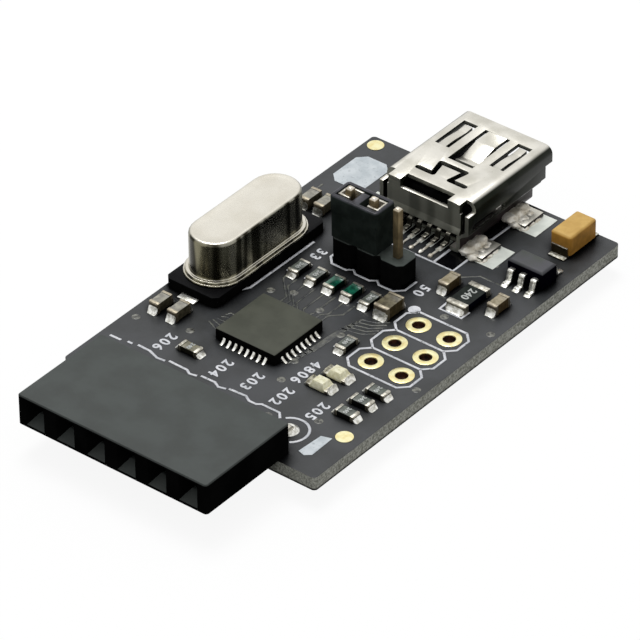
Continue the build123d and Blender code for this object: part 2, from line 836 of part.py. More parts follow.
def bridge_chip_leads():
    """Solder-filled leads along all four sides."""
    profile = make_face(Polyline((0, 0), (chip_lead_reach, 0), (0, chip_lead_height), close=True))
    lead = extrude(Plane.XZ.offset(-chip_lead_width / 2) * profile, amount=chip_lead_width)
    leads = []
    first = -chip_lead_pitch * (chip_leads_per_side - 1) / 2
    for turn in range(4):
        for i in range(chip_leads_per_side):
            place = Pos(chip_x, chip_y, 0) * Rot(0, 0, 90 * turn)
            leads.append(place * Pos(chip_side / 2, first + chip_lead_pitch * i, 0) * lead)
    return group(leads)


def regulator_body():
    """The small moulded package, chamfered all round its top."""
    body = block(
        around(regulator_x, regulator_length),
        around(regulator_y, regulator_width),
        (regulator_standoff, regulator_height),
    )
    return chamfer(body.faces().sort_by(Axis.Z)[-1].edges(), regulator_chamfer)


def regulator_leads():
    """Five bent leads: three in front and two behind."""
    leads = []
    for side, columns in ((-1, (-1, 0, 1)), (1, (-1, 1))):
        for column in columns:
            x = regulator_x + column * regulator_lead_pitch
            half = regulator_lead_thickness / 2
            edge = regulator_y + side * regulator_width / 2
            bend_y = edge + side * regulator_lead_level
            points = [
                (edge, regulator_lead_height),
                (bend_y, regulator_lead_height),
                (bend_y + side * regulator_lead_slope, half),
                (regulator_y + side * regulator_lead_reach, half),
            ]
            size = (regulator_lead_thickness, regulator_lead_bend)
            leads.append(side_profile(x, regulator_lead_width, points, *size))
    return group(leads)


def tantalum_body():
    """The moulded capacitor body with softened edges."""
    body = block(
        around(tantalum_x, tantalum_width),
        around(tantalum_y, tantalum_length),
        (tantalum_standoff, tantalum_height),
    )
    return chamfer(body.edges(), tantalum_chamfer)


def tantalum_terminals():
    """Metal tabs that turn up both ends and reach out over their pads."""
    tabs = []
    for side in (-1, 1):
        end = tantalum_y + side * tantalum_length / 2
        foot = sorted((end - side * tantalum_chamfer, end + side * tantalum_tab_reach))
        upright = sorted((end, end + side * tantalum_tab_thickness))
        tab = block(around(tantalum_x, tantalum_tab_width), foot, (0, tantalum_standoff))
        tab += block(around(tantalum_x, tantalum_tab_width), upright, (0, tantalum_tab_height))
        tabs.append(tab)
    return group(tabs)


# Two-terminal chips


def placed(shape, place):
    x, y, along = place
    return Pos(x, y, 0) * Rot(0, 0, 90 if along else 0) * shape


def two_terminal_chip(size, place, band):
    """A ceramic block whose plated ends stand slightly proud."""
    length, width, height = size
    body = block(
        around(0, length - band),
        around(0, width - 2 * band_step),
        (seat_gap + band_step, height - band_step),
    )
    for side in (-1, 1):
        span = sorted((side * length / 2, side * (length / 2 - band)))
        end = block(span, around(0, width), (seat_gap, height))
        outer = end.faces().sort_by(Axis.X)[-1 if side > 0 else 0].edges()
        body += chamfer(outer, band_chamfer)
    return placed(body, place)


def led(size, place):
    """A lamp chip: a base with plated ends under a tapered clear block."""
    length, width, height = size
    base_height = height * led_base_share
    base = block(around(0, length), around(0, width), (seat_gap, base_height))
    foot = Rectangle(length - 2 * chip_band, width)
    crown = Rectangle(length - 2 * chip_band - led_taper, width - led_taper)
    plane = Plane.XY.offset(base_height)
    dome = loft([plane * foot, plane.offset(height - base_height) * crown])
    return placed(base + dome, place)


def chip_solder(size, place):
    """The two solder fillets at a chip's ends."""
    length, width, height = size
    profile = make_face(Polyline((0, 0), (fillet_reach, 0), (0, height * fillet_rise), close=True))
    across = width * fillet_width
    wedge = extrude(Plane.XZ.offset(-across / 2) * profile, amount=across)
    wedges = [Rot(0, 0, 180 * turn) * Pos(length / 2, 0, 0) * wedge for turn in range(2)]
    return [placed(piece, place) for piece in wedges]


def chip_families():
    """Every two-terminal chip as a name, its size and its place."""
    families = []
    for name, size, places in (
        ("capacitor", capacitor_size, capacitor_places),
        ("resistor", resistor_size, resistor_places),
        ("varistor", varistor_size, varistor_places),
        ("led", led_size, led_places),
    ):
        families += [(f"{name}_{i + 1}", size, place) for i, place in enumerate(places)]
    families.append(("capacitor_7", large_capacitor_size, large_capacitor_place))
    families.append(("fuse", fuse_size, fuse_place))
    return families


def all_chip_solder():
    families = chip_families()
    return group([wedge for name, size, place in families for wedge in chip_solder(size, place)])


def parts():
    """Every node by name."""
    nodes = {
        "board": board(),
        "icsp_rings": icsp_rings(),
        "fiducials": fiducials(),
        "socket_housing": socket_housing(),
        "socket_solder": socket_solder(),
        "header_base": header_base(),
        "header_solder": header_solder(),
        "jumper_housing": jumper_housing(),
        "jumper_clip": jumper_clip(),
        "usb_shell": usb_shell(),
        "usb_insulator": usb_insulator(),
        "usb_contacts": usb_contacts(),
        "usb_pads": shell_pads(),
        "crystal_can": crystal_can(),
        "crystal_base": crystal_base(),
        "crystal_leads": crystal_leads(),
        "bridge_chip_body": bridge_chip_body(),
        "bridge_chip_leads": bridge_chip_leads(),
        "regulator_body": regulator_body(),
        "regulator_leads": regulator_leads(),
        "tantalum_body": tantalum_body(),
        "tantalum_terminals": tantalum_terminals(),
        "chip_solder": all_chip_solder(),
    }
    for i, x in enumerate(socket_places()):
        nodes[f"socket_contact_{i + 1}"] = socket_contact(x)
    for i, x in enumerate(header_places()):
        nodes[f"header_pin_{i + 1}"] = header_pin(x)
    for name, size, place in chip_families():
        band = fuse_band if name == "fuse" else chip_band
        nodes[name] = led(size, place) if name.startswith("led") else two_terminal_chip(size, place, band)
    return nodes


os.makedirs("parts", exist_ok=True)
for node, shape in parts().items():
    export_step(to_part_frame * shape, f"parts/{node}.step")
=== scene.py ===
import logging
import math
from dataclasses import dataclass
from enum import Enum
from itertools import count, product
from typing import Iterable, Mapping, Sequence, Union

import bmesh
import bpy
from mathutils import Matrix, Quaternion, Vector, noise


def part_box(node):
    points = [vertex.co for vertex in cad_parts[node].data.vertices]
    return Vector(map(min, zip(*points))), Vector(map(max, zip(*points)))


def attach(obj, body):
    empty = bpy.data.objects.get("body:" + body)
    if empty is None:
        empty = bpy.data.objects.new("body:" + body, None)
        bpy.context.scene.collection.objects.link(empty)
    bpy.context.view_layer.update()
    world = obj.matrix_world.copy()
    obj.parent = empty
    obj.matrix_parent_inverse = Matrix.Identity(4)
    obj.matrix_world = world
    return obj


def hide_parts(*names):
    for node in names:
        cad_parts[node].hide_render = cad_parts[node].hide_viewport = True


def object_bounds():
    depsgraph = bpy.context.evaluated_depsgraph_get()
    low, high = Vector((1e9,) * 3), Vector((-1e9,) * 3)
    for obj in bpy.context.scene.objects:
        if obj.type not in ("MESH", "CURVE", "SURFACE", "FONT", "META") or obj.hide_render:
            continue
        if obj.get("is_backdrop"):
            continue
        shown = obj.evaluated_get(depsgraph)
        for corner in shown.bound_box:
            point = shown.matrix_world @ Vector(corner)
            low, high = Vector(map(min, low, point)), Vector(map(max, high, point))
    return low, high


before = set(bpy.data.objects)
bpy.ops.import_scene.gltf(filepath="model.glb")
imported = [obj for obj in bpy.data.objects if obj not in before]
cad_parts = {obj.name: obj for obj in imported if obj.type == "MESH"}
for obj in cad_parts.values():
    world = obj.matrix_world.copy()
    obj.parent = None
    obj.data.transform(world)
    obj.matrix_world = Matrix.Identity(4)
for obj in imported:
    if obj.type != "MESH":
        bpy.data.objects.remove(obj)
cad_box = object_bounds()

log = logging.getLogger("scene")

MM = 0.001
MODULE = "module"
JUMPER = "jumper"
PICTURE_BACKGROUND = 1.0
WHITE = (1.0, 1.0, 1.0, 1.0)
NOISE_MIDDLE = 0.5
MERGE_DISTANCE = 0.001
CUT_TOLERANCE = 1e-7
FLAT_ANGLE = 1.0
ROUNDED_ANGLE = 28.0

Tint = tuple[float, float, float, float]
Point = tuple[float, float]
Range = tuple[float, float]
Value = Union["Wire", float, Sequence[float]]


def tint(code: str) -> Tint:
    """Turn a screen colour into scene values.

    Args:
        code: Six hexadecimal digits, red, green and blue.

    Returns:
        The linear colour with an alpha of one.
    """
    channels = [int(code[i:i + 2], 16) / 255 for i in (0, 2, 4)]
    linear = [c / 12.92 if c <= 0.04045 else ((c + 0.055) / 1.055) ** 2.4 for c in channels]
    return (linear[0], linear[1], linear[2], 1.0)


# Node graphs


class Wire:
    """An output socket on which Python arithmetic adds Math nodes."""

    def __init__(self, graph: "Graph", socket: bpy.types.NodeSocket) -> None:
        """Keep the graph that new nodes are added to and the output socket."""
        self.graph = graph
        self.socket = socket

    def _math(self, operation: str, first: Value, second: Value) -> "Wire":
        """Add one Math node on two values."""
        return self.graph.out(self.graph.node("ShaderNodeMath", {"operation": operation}, {0: first, 1: second}))

    def __add__(self, other: Value) -> "Wire":
        """Sum with a value on the right."""
        return self._math("ADD", self, other)

    def __radd__(self, other: Value) -> "Wire":
        """Sum with a value on the left."""
        return self._math("ADD", other, self)

    def __sub__(self, other: Value) -> "Wire":
        """Difference with a value on the right."""
        return self._math("SUBTRACT", self, other)

    def __rsub__(self, other: Value) -> "Wire":
        """Difference with a value on the left."""
        return self._math("SUBTRACT", other, self)

    def __mul__(self, other: Value) -> "Wire":
        """Product with a value on the right."""
        return self._math("MULTIPLY", self, other)

    def __rmul__(self, other: Value) -> "Wire":
        """Product with a value on the left."""
        return self._math("MULTIPLY", other, self)

    def larger(self, other: Value) -> "Wire":
        """The larger of two values."""
        return self._math("MAXIMUM", self, other)

    def size(self) -> "Wire":
        """The value without its sign."""
        return self._math("ABSOLUTE", self, 0.0)

    def step(self, low: float, high: float) -> "Wire":
        """Rise smoothly from 0 at the low value to 1 at the high one."""
        sockets = {"Value": self, "From Min": low, "From Max": high}
        return self.graph.out(self.graph.node("ShaderNodeMapRange", {"interpolation_type": "SMOOTHSTEP"}, sockets))


class Graph:
    """Adds nodes to one shader or geometry tree."""

    def __init__(self, tree: bpy.types.NodeTree) -> None:
        """Start on the node tree that is filled."""
        self.tree = tree

    def node(
        self,
        kind: str,
        settings: Mapping[str, object] | None = None,
        sockets: Mapping[Union[str, int], Value] | None = None,
    ) -> bpy.types.Node:
        """Add a node.

        Args:
            kind: The node's type name.
            settings: Its settings, set first.
            sockets: The value of each named or numbered input, or the wire that feeds it.

        Returns:
            The new node.
        """
        made = self.tree.nodes.new(kind)
        for name, value in (settings or {}).items():
            setattr(made, name, value)
        for name, value in (sockets or {}).items():
            if isinstance(value, Wire):
                self.tree.links.new(value.socket, made.inputs[name])
            else:
                made.inputs[name].default_value = value
        return made

    def out(self, node: bpy.types.Node, name: Union[str, int] = 0) -> Wire:
        """One output of a node as a wire."""
        return Wire(self, node.outputs[name])

    def millimetres(self, stretch: Sequence[float] = (1.0, 1.0, 1.0)) -> Wire:
        """Object coordinates in millimetres.

        Args:
            stretch: Factor on each axis, under 1 where a pattern runs long.

        Returns:
            The scaled coordinates.
        """
        place = self.out(self.node("ShaderNodeTexCoord"), "Object")
        factors = [factor / MM for factor in stretch]
        scaled = self.node("ShaderNodeVectorMath", {"operation": "MULTIPLY"}, {0: place, 1: factors})
        return self.out(scaled)

    def noise(self, per_mm: float, detail: float = 2.0, stretch: Sequence[float] = (1, 1, 1)) -> Wire:
        """A cloudy pattern about 0.5, from its patches per mm, octaves of detail and factor on each axis."""
        sockets = {"Vector": self.millimetres(stretch), "Scale": per_mm, "Detail": detail}
        return self.out(self.node("ShaderNodeTexNoise", {}, sockets))

    def mix(self, factor: Value, first: Value, second: Value) -> Wire:
        """A blend of two colours, all of the first where the factor is 0."""
        settings = {"data_type": "RGBA", "clamp_factor": True}
        return self.out(self.node("ShaderNodeMix", settings, {0: factor, 6: first, 7: second}), 2)

    def facing(self, axis: str) -> Wire:
        """How far a face looks along an axis, from -1 to 1."""
        normal = self.out(self.node("ShaderNodeNewGeometry"), "Normal")
        return self.out(self.node("ShaderNodeSeparateXYZ", {}, {0: normal}), axis)

    def height(self) -> Wire:
        """Height in the scene in millimetres."""
        return self.out(self.node("ShaderNodeSeparateXYZ", {}, {0: self.millimetres()}), "Z")

    def coat(self, color: Value, roughness: Value, metallic: float, specular: float, **more: Value) -> Wire:
        """The finishes' shader, with values for further sockets by their names."""
        sockets = {"Base Color": color, "Roughness": roughness, "Metallic": metallic, "Specular IOR Level": specular}
        return self.out(self.node("ShaderNodeBsdfPrincipled", {}, sockets | more))

    def blend(self, share: Value, first: Wire, second: Wire) -> Wire:
        """A blend of two shaders, all of the first where the share is 0."""
        return self.out(self.node("ShaderNodeMixShader", {}, {0: share, 1: first, 2: second}))

    def relief(self, height: Value, depth_mm: float) -> Wire:
        """A normal bumped by a pattern of heights from 0 to 1."""
        sockets = {"Height": height, "Distance": depth_mm * MM, "Strength": 1.0}
        return self.out(self.node("ShaderNodeBump", {}, sockets))


def cleared(owner: bpy.types.Material | bpy.types.World) -> Graph:
    """Start an empty graph in a material or a world."""
    owner.use_nodes = True
    owner.node_tree.nodes.clear()
    return Graph(owner.node_tree)


# Finishes


@dataclass(frozen=True)
class Finish:
    """A finish whose colour drifts between two tints, with a fine grain in its gloss and relief."""

    name: str
    color: Tint
    shade: Tint
    roughness: float = 0.5
    metallic: float = 0.0
    specular: float = 0.5
    drift: float = 1.2
    grain: float = 8.0
    gloss_change: float = 0.12
    relief: float = 0.002
    cloud_range: Range = (0.32, 0.68)

    def color_over(self, graph: Graph) -> Value:
        """Work out the base colour at each point."""
        return graph.mix(graph.noise(self.drift, detail=4.0).step(*self.cloud_range), self.shade, self.color)

    def roughness_over(self, graph: Graph) -> Value:
        """Work out the roughness at each point."""
        return (graph.noise(self.grain, detail=3.0) - NOISE_MIDDLE) * self.gloss_change + self.roughness

    def height_over(self, graph: Graph) -> Value:
        """Work out the fine relief at each point, from 0 to 1."""
        return graph.noise(self.grain, detail=2.0)

    def surface(self, graph: Graph) -> Wire:
        """Build the finish's shader.

        Args:
            graph: The material's graph.

        Returns:
            The shader.
        """
        normal = graph.relief(self.height_over(graph), self.relief)
        color, roughness = self.color_over(graph), self.roughness_over(graph)
        return graph.coat(color, roughness, self.metallic, self.specular, Normal=normal)

    def material(self) -> bpy.types.Material:
        """Make the material, or return the one made before.

        Returns:
            The material of this finish.
        """
        name = f"{self.name}_finish"
        known = bpy.data.materials.get(name)
        if known is not None:
            return known
        made = bpy.data.materials.new(name)
        graph = cleared(made)
        graph.node("ShaderNodeOutputMaterial", {}, {"Surface": self.surface(graph)})
        return made


@dataclass(frozen=True)
class LitTopShadedWallFinish(Finish):
    """A finish whose side faces carry a painted shade, a darker and duller wall tint, under upper faces whose lighter
    tint is partly painted light.
    """

    # wall is painted shade on the side faces; wall_shade darkens it further in clouds
    wall: Tint = tint("121212")
    wall_specular: float = 0.0
    wall_shade: float = 0.6
    wall_dulling: float = 0.1
    wall_cloud_range: Range = (0.3, 0.7)
    top_range: Range = (0.3, 0.95)

    def surface(self, graph: Graph) -> Wire:
        """Blend the walls' shader, with its painted shade, with that of the upper faces.

        Args:
            graph: The material's graph.

        Returns:
            The shader.
        """
        # Painted shade: the side faces take the darker wall tint
        cloud = graph.noise(self.drift, detail=3.0).step(*self.wall_cloud_range)
        darker = (*(self.wall_shade * channel for channel in self.wall[:3]), 1.0)
        roughness = self.roughness_over(graph) + self.wall_dulling
        walls = graph.coat(graph.mix(cloud, darker, self.wall), roughness, self.metallic, self.wall_specular)
        return graph.blend(graph.facing("Z").step(*self.top_range), walls, super().surface(graph))


@dataclass(frozen=True)
class MaskFinish(Finish):
    """Solder mask on both faces of the board, and sawn glass fibre round its edges, with a painted contact shadow near
    the parts and a painted shade line along the edges' foot.
    """

    edge: Tint = tint("ecede2")
    edge_shade: Tint = tint("97988c")
    # A painted shade line along the lower rim of the board's edges
    edge_foot_shade: Tint = tint("161614")
    edge_foot_shade_mm: Range = (1.27, 1.4)
    # corner is the colour of the painted contact shadow near the parts
    corner: Tint = tint("0a0a0b")
    contact_shade_reach_mm: float = 2.0
    contact_shade_range: Range = (0.5, 0.95)
    face_range: Range = (0.4, 0.6)
    fibres_per_mm: float = 7.0
    fibre_range: Range = (0.28, 0.7)
    fibre_dulling: float = 0.5

    def _faces(self, graph: Graph) -> Wire:
        """1 on the board's two faces and 0 round its edges."""
        return graph.facing("Z").size().step(*self.face_range)

    def color_over(self, graph: Graph) -> Value:
        """Mix the mottled mask with the speckled fibre, whose foot is darkened as painted shade.

        Args:
            graph: The material's graph.

        Returns:
            The base colour.
        """
        fibre = graph.noise(self.fibres_per_mm, detail=5.0).step(*self.fibre_range)
        edge = graph.mix(fibre, self.edge_shade, self.edge)
        # Painted shade: the edges turn dark towards their foot
        edge = graph.mix(graph.height().step(*self.edge_foot_shade_mm), self.edge_foot_shade, edge)
        return graph.mix(self._faces(graph), edge, super().color_over(graph))

    def roughness_over(self, graph: Graph) -> Value:
        """Keep the mask glossy and the fibre dull."""
        return super().roughness_over(graph) + (1 - self._faces(graph)) * self.fibre_dulling

    def surface(self, graph: Graph) -> Wire:
        """Paint a contact shadow onto the board where the parts on it stand close.

        Args:
            graph: The material's graph.

        Returns:
            The shader.
        """
        # Painted contact shadow: ambient occlusion blends in a dark matt shader
        reach = {"Distance": self.contact_shade_reach_mm * MM}
        openness = graph.out(graph.node("ShaderNodeAmbientOcclusion", {"samples": 8}, reach), "AO")
        corner = graph.out(graph.node("ShaderNodeBsdfDiffuse", {}, {"Color": self.corner}))
        return graph.blend(openness.step(*self.contact_shade_range), corner, super().surface(graph))


@dataclass(frozen=True)
class DrawnMetalFinish(Finish):
    """Drawn sheet metal with a clouded top, sides darkened as painted reflection in bands and with height, and front
    faces given a tone of painted light.
    """

    # The wall tints, the reflected bands and the front tone are painted reflection and shade on the sides
    upper_wall_reflection: Tint = tint("1d2019")
    lower_wall_reflection: Tint = tint("332b2d")
    reflected_band: Tint = tint("2b2d26")
    front: Tint = tint("9a9b90")
    reflected_bands_per_mm: float = 0.8
    foot_mm: float = 2.6
    top_mm: float = 4.4
    reflected_band_share: float = 0.5
    wall_metallic: float = 0.35
    wall_specular: float = 0.06
    reflected_band_stretch: tuple[float, float, float] = (1.0, 1.0, 0.05)
    reflected_band_range: Range = (0.45, 0.62)
    front_range: Range = (0.5, 0.95)
    top_range: Range = (0.7, 0.97)

    def wall_color(self, graph: Graph) -> Value:
        """Paint reflection bands, a change with height and a front tone of painted light into the walls.

        Args:
            graph: The material's graph.

        Returns:
            The base colour.
        """
        # Painted reflection: the walls' tone changes with height, is crossed by dark bands, and the front faces are
        # toned apart
        rise = graph.height().step(self.foot_mm, self.top_mm)
        plain = graph.mix(rise, self.lower_wall_reflection, self.upper_wall_reflection)
        bands = graph.noise(self.reflected_bands_per_mm, 1.0, self.reflected_band_stretch).step(*self.reflected_band_range)
        forward = (0.0 - graph.facing("Y")).step(*self.front_range)
        return graph.mix(bands * self.reflected_band_share, graph.mix(forward, plain, self.front), self.reflected_band)

    def surface(self, graph: Graph) -> Wire:
        """Blend the walls' shader with that of the top.

        Args:
            graph: The material's graph.

        Returns:
            The shader.
        """
        color, roughness = self.wall_color(graph), self.roughness_over(graph)
        walls = graph.coat(color, roughness, self.wall_metallic, self.wall_specular)
        return graph.blend(graph.facing("Z").step(*self.top_range), walls, super().surface(graph))


@dataclass(frozen=True)
class WornPaintFinish(Finish):
    """Printed paint with thin worn spots."""

    worn: Tint = tint("8d9092")
    spots_per_mm: float = 4.0
    spot_range: Range = (0.24, 0.46)

    def color_over(self, graph: Graph) -> Value:
        """Mix worn spots into the paint."""
        spots = graph.noise(self.spots_per_mm, detail=5.0).step(*self.spot_range)
        return graph.mix(spots, self.worn, super().color_over(graph))


class Look(Enum):
    """Every finish on the object."""

    MASK = MaskFinish("mask", tint("3f4144"), tint("303233"), 0.36, specular=0.38, drift=0.35)
    TRACE = Finish("trace", tint("6b6c64"), tint("33363a"), 0.3, drift=2.0)
    VIA = Finish("via", tint("8b8b82"), tint("2a2b2a"), 0.3, drift=4.0)
    PRINT = WornPaintFinish("print", tint("f0f1f6"), tint("d3d6dc"), 0.5, relief=0.004)
    PATCH = WornPaintFinish("print_patch", tint("dbe2e6"), tint("c2cbd0"), 0.5, relief=0.004, worn=tint("b3bbc0"))
    MARK = WornPaintFinish("chip_mark", tint("c9cdc9"), tint("a6aaa6"), 0.5, relief=0.002)
    GOLD = Finish("gold", tint("f7f2c2"), tint("ecdc9d"), 0.32, 0.6, drift=2.5)
    BORE = Finish("bore", tint("5a3420"), tint("24120b"), 0.5, 0.6, drift=3.0)
    # In the entries below that set a wall tint, or keep the near-black default one, the wall tint is painted shade on
    # the side faces and the top tint is the body's colour with painted light; the pale tops of the pins and the contact
    # row are painted highlights
    SOCKET = LitTopShadedWallFinish("socket_plastic", tint("484d4b"), tint("404442"), 0.55, specular=0.25, drift=0.5)
    HEADER = LitTopShadedWallFinish("header_plastic", tint("4b524e"), tint("3c423f"), 0.5, specular=0.2, drift=0.8)
    BLACK = LitTopShadedWallFinish("black_plastic", tint("101012"), tint("08080a"), 0.45, specular=0.05)
    JUMPER = LitTopShadedWallFinish("jumper_plastic", tint("3a3a42"), tint("222228"), 0.32, specular=0.3, wall=tint("303734"))
    # The shell's and the can's wall tints, bands and front tones are painted reflection and shade
    SHELL = DrawnMetalFinish("shell_nickel", tint("dedbd2"), tint("c6c3b8"), 0.3, 1.0, drift=0.5, relief=0.001)
    CAN = DrawnMetalFinish(
        "can_steel", tint("dcd8cd"), tint("d2cdc0"), 0.27, 1.0, drift=0.4, relief=0.0003, upper_wall_reflection=tint("8b897d"),
        lower_wall_reflection=tint("9a9683"), reflected_band=tint("2c2a20"), front=tint("7d7964"), reflected_bands_per_mm=1.1,
        reflected_band_share=1.0, wall_metallic=1.0, top_mm=6.1,
    )
    CONTACT_ROW = LitTopShadedWallFinish(
        "contact_row_metal", tint("c6c3b3"), tint("7d7b6f"), 0.3, 0.7, drift=4.0, wall=tint("34342e"), wall_specular=0.3
    )
    # Painted shadow and painted dark reflection laid on the board as thin sheets
    PAINTED_SHADE = Finish("painted_shade_sheet", tint("0c0c0e"), tint("050507"), 0.2, specular=0.2, drift=1.0)
    CONTACT = Finish("contact_metal", tint("f0ece0"), tint("c2bdb0"), 0.3, 0.6, drift=3.0)
    PIN = LitTopShadedWallFinish(
        "pin_metal", tint("e9e4da"), tint("b5aa94"), 0.35, 0.9, drift=1.5, wall=tint("86775a"), wall_specular=0.5
    )
    BRIDGE_CHIP = LitTopShadedWallFinish("bridge_chip", tint("52544a"), tint("484a41"), 0.5, specular=0.15, drift=0.6)
    REGULATOR = LitTopShadedWallFinish(
        "regulator", tint("4f4f54"), tint("464a45"), 0.5, specular=0.3, drift=0.5, wall=tint("0a0812")
    )
    TANTALUM = LitTopShadedWallFinish(
        "tantalum_resin", tint("dfb86a"), tint("cfa65a"), 0.5, specular=0.3, drift=1.2, wall=tint("c9913a"),
        wall_specular=0.3,
    )
    TANTALUM_TAB = LitTopShadedWallFinish(
        "tantalum_tab", tint("d8d6cc"), tint("8b8777"), 0.4, 0.8, drift=4.0, wall=tint("3a3222"), wall_specular=0.2
    )
    CERAMIC = LitTopShadedWallFinish("tan_ceramic", tint("ada287"), tint("8d8268"), 0.42, drift=3.0, wall=tint("5d4e36"))
    GREY_CERAMIC = LitTopShadedWallFinish("grey_ceramic", tint("aaa798"), tint("86837a"), 0.42, drift=3.0, wall=tint("585343"))
    BROWN_CERAMIC = LitTopShadedWallFinish(
        "brown_ceramic", tint("756e56"), tint("474130"), 0.45, drift=3.0, wall=tint("4c4330")
    )
    CERAMIC_END = LitTopShadedWallFinish(
        "ceramic_end", tint("c6bca4"), tint("9c9280"), 0.4, 0.5, drift=4.0, wall=tint("6a6150"), wall_specular=0.4
    )
    RESISTOR = LitTopShadedWallFinish("resistor_glaze", tint("6c726a"), tint("4d524c"), 0.35, drift=2.5, wall=tint("1c1c1a"))
    TAN_RESISTOR = LitTopShadedWallFinish("pale_glaze", tint("8f8b74"), tint("6d6a58"), 0.35, drift=3.0, wall=tint("2b2a22"))
    VARISTOR = LitTopShadedWallFinish("green_glaze", tint("1c6a52"), tint("0b3f30"), 0.2, drift=3.0, wall=tint("06241b"))
    LAMP = Finish("lamp_resin", tint("fffce0"), tint("e4dfb8"), 0.3, drift=4.0)
    FUSE = LitTopShadedWallFinish("fuse_body", tint("272d29"), tint("181c1a"), 0.4, drift=2.0, specular=0.1, wall=tint("0b0c18"))
    CHIP_END = LitTopShadedWallFinish(
        "chip_end", tint("d9d6ca"), tint("9b978b"), 0.35, 0.85, drift=4.0, relief=0.008, wall=tint("8d8878"),
        wall_specular=0.5,
    )
    TIN = Finish("tin", tint("f4f4ef"), tint("b3b1a6"), 0.3, 0.9, drift=4.0, grain=6.0, relief=0.01)
    LAND = Finish("tinned_land", tint("eef2ea"), tint("dde2da"), 0.45, 0.3, drift=1.2, relief=0.003)
    FLUX = Finish("solder_lump", tint("faf7ed"), tint("cec6b4"), 0.45, 0.3, drift=2.0, grain=4.5, relief=0.02)

    def material(self) -> bpy.types.Material:
        """The finish's material."""
        return self.value.material()


# Meshes


@dataclass(frozen=True)
class BoardFrame:
    """The board's own frame in mm: x from its centreline, y from its front edge, z from its top."""

    origin: Vector

    @classmethod
    def from_cad(cls) -> "BoardFrame":
        """Read the frame from the board's box."""
        low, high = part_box("board")
        return cls(Vector(((low.x + high.x) / 2, low.y, high.z)))

    def point(self, x: float, y: float, z: float = 0.0) -> Vector:
        """A place on the board as a point of the scene."""
        return self.origin + Vector((x, y, z)) * MM

    def local(self, point: Vector) -> Vector:
        """A point of the scene as a place on the board."""
        return (point - self.origin) / MM

    def box(self, node: str) -> tuple[Vector, Vector]:
        """The lowest and highest corner of a CAD node in this frame."""
        low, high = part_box(node)
        return self.local(low), self.local(high)


board_frame = BoardFrame.from_cad()


def around(centre: Point, radius: float, angles: Iterable[float]) -> list[Point]:
    """Points of a circle at angles in radians."""
    return [(centre[0] + radius * math.cos(a), centre[1] + radius * math.sin(a)) for a in angles]


def placed(name: str, data: bpy.types.ID) -> bpy.types.Object:
    """Link a new object with its data to the scene."""
    obj = bpy.data.objects.new(name, data)
    bpy.context.scene.collection.objects.link(obj)
    return obj


def to_mesh(name: str, shape: bmesh.types.BMesh) -> bpy.types.Mesh:
    """Turn a shape into a mesh with its normals outwards.

    Args:
        name: The mesh's name.
        shape: The shape, which is freed.

    Returns:
        The mesh.
    """
    bmesh.ops.recalc_face_normals(shape, faces=shape.faces)
    mesh = bpy.data.meshes.new(name)
    shape.to_mesh(mesh)
    shape.free()
    return mesh


def evaluated(obj: bpy.types.Object) -> bpy.types.Mesh:
    """Take the plain mesh of an object with its modifiers, and remove the object.

    Args:
        obj: The object, linked to the scene.

    Returns:
        The plain mesh.
    """
    graph = bpy.context.evaluated_depsgraph_get()
    mesh = bpy.data.meshes.new_from_object(obj.evaluated_get(graph), depsgraph=graph)
    bpy.data.objects.remove(obj)
    return mesh


def shaded(mesh: bpy.types.Mesh, angle: float = 35.0) -> bpy.types.Mesh:
    """Shade a mesh smooth up to an angle.

    Args:
        mesh: The mesh.
        angle: Edges sharper than this many degrees stay sharp.

    Returns:
        The same mesh.
    """
    mesh.shade_smooth()
    mesh.set_sharp_from_angle(angle=math.radians(angle))
    return mesh


def softened(node: str, radius: float, segments: int = 2) -> bpy.types.Mesh:
    """Copy a CAD node with its edges rounded.

    Args:
        node: The node that is copied.
        radius: Width of the rounding in mm.
        segments: Faces across each rounding.

    Returns:
        The rounded mesh.
    """
    shape = bmesh.new()
    shape.from_mesh(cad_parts[node].data)
    bmesh.ops.remove_doubles(shape, verts=shape.verts, dist=MERGE_DISTANCE * MM)
    bmesh.ops.dissolve_limit(shape, angle_limit=math.radians(FLAT_ANGLE), verts=shape.verts, edges=shape.edges)
    plain = bpy.data.meshes.new(f"{node}_plain")
    shape.to_mesh(plain)
    shape.free()
    obj = placed(f"{node}_plain", plain)
    bevel = obj.modifiers.new("edges", "BEVEL")
    bevel.width = radius * MM
    bevel.segments = segments
    bevel.limit_method = "ANGLE"
    bevel.angle_limit = math.radians(ROUNDED_ANGLE)
    bevel.harden_normals = False
    return shaded(evaluated(obj), angle=40.0)


def joined(name: str, meshes: Iterable[bpy.types.Mesh]) -> bpy.types.Mesh:
    """Put several meshes into one.

    Args:
        name: The new mesh's name.
        meshes: The meshes, which are removed.

    Returns:
        One mesh.
    """
    shape = bmesh.new()
    for mesh in list(meshes):
        shape.from_mesh(mesh)
        bpy.data.meshes.remove(mesh)
    whole = bpy.data.meshes.new(name)
    shape.to_mesh(whole)
    shape.free()
    return whole


def settle(
    name: str,
    mesh: bpy.types.Mesh,
    looks: Sequence[Look],
    replaced: Sequence[str] = (),
    body: str = MODULE,
) -> None:
    """Put a finished mesh into the scene and on its body.

    Args:
        name: The piece's name.
        mesh: Its mesh, already in place.
        looks: Its finishes, in the order of the mesh's material numbers.
        replaced: CAD nodes that it stands for.
        body: The body that it rides on.
    """
    mesh.name = name
    numbers = [face.material_index for face in mesh.polygons]
    mesh.materials.clear()
    for look in looks:
        mesh.materials.append(look.material())
    mesh.polygons.foreach_set("material_index", numbers)
    obj = placed(name, mesh)
    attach(obj, body)
    if replaced:
        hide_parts(*replaced)
    log.info("%s: %d faces", name, len(mesh.polygons))


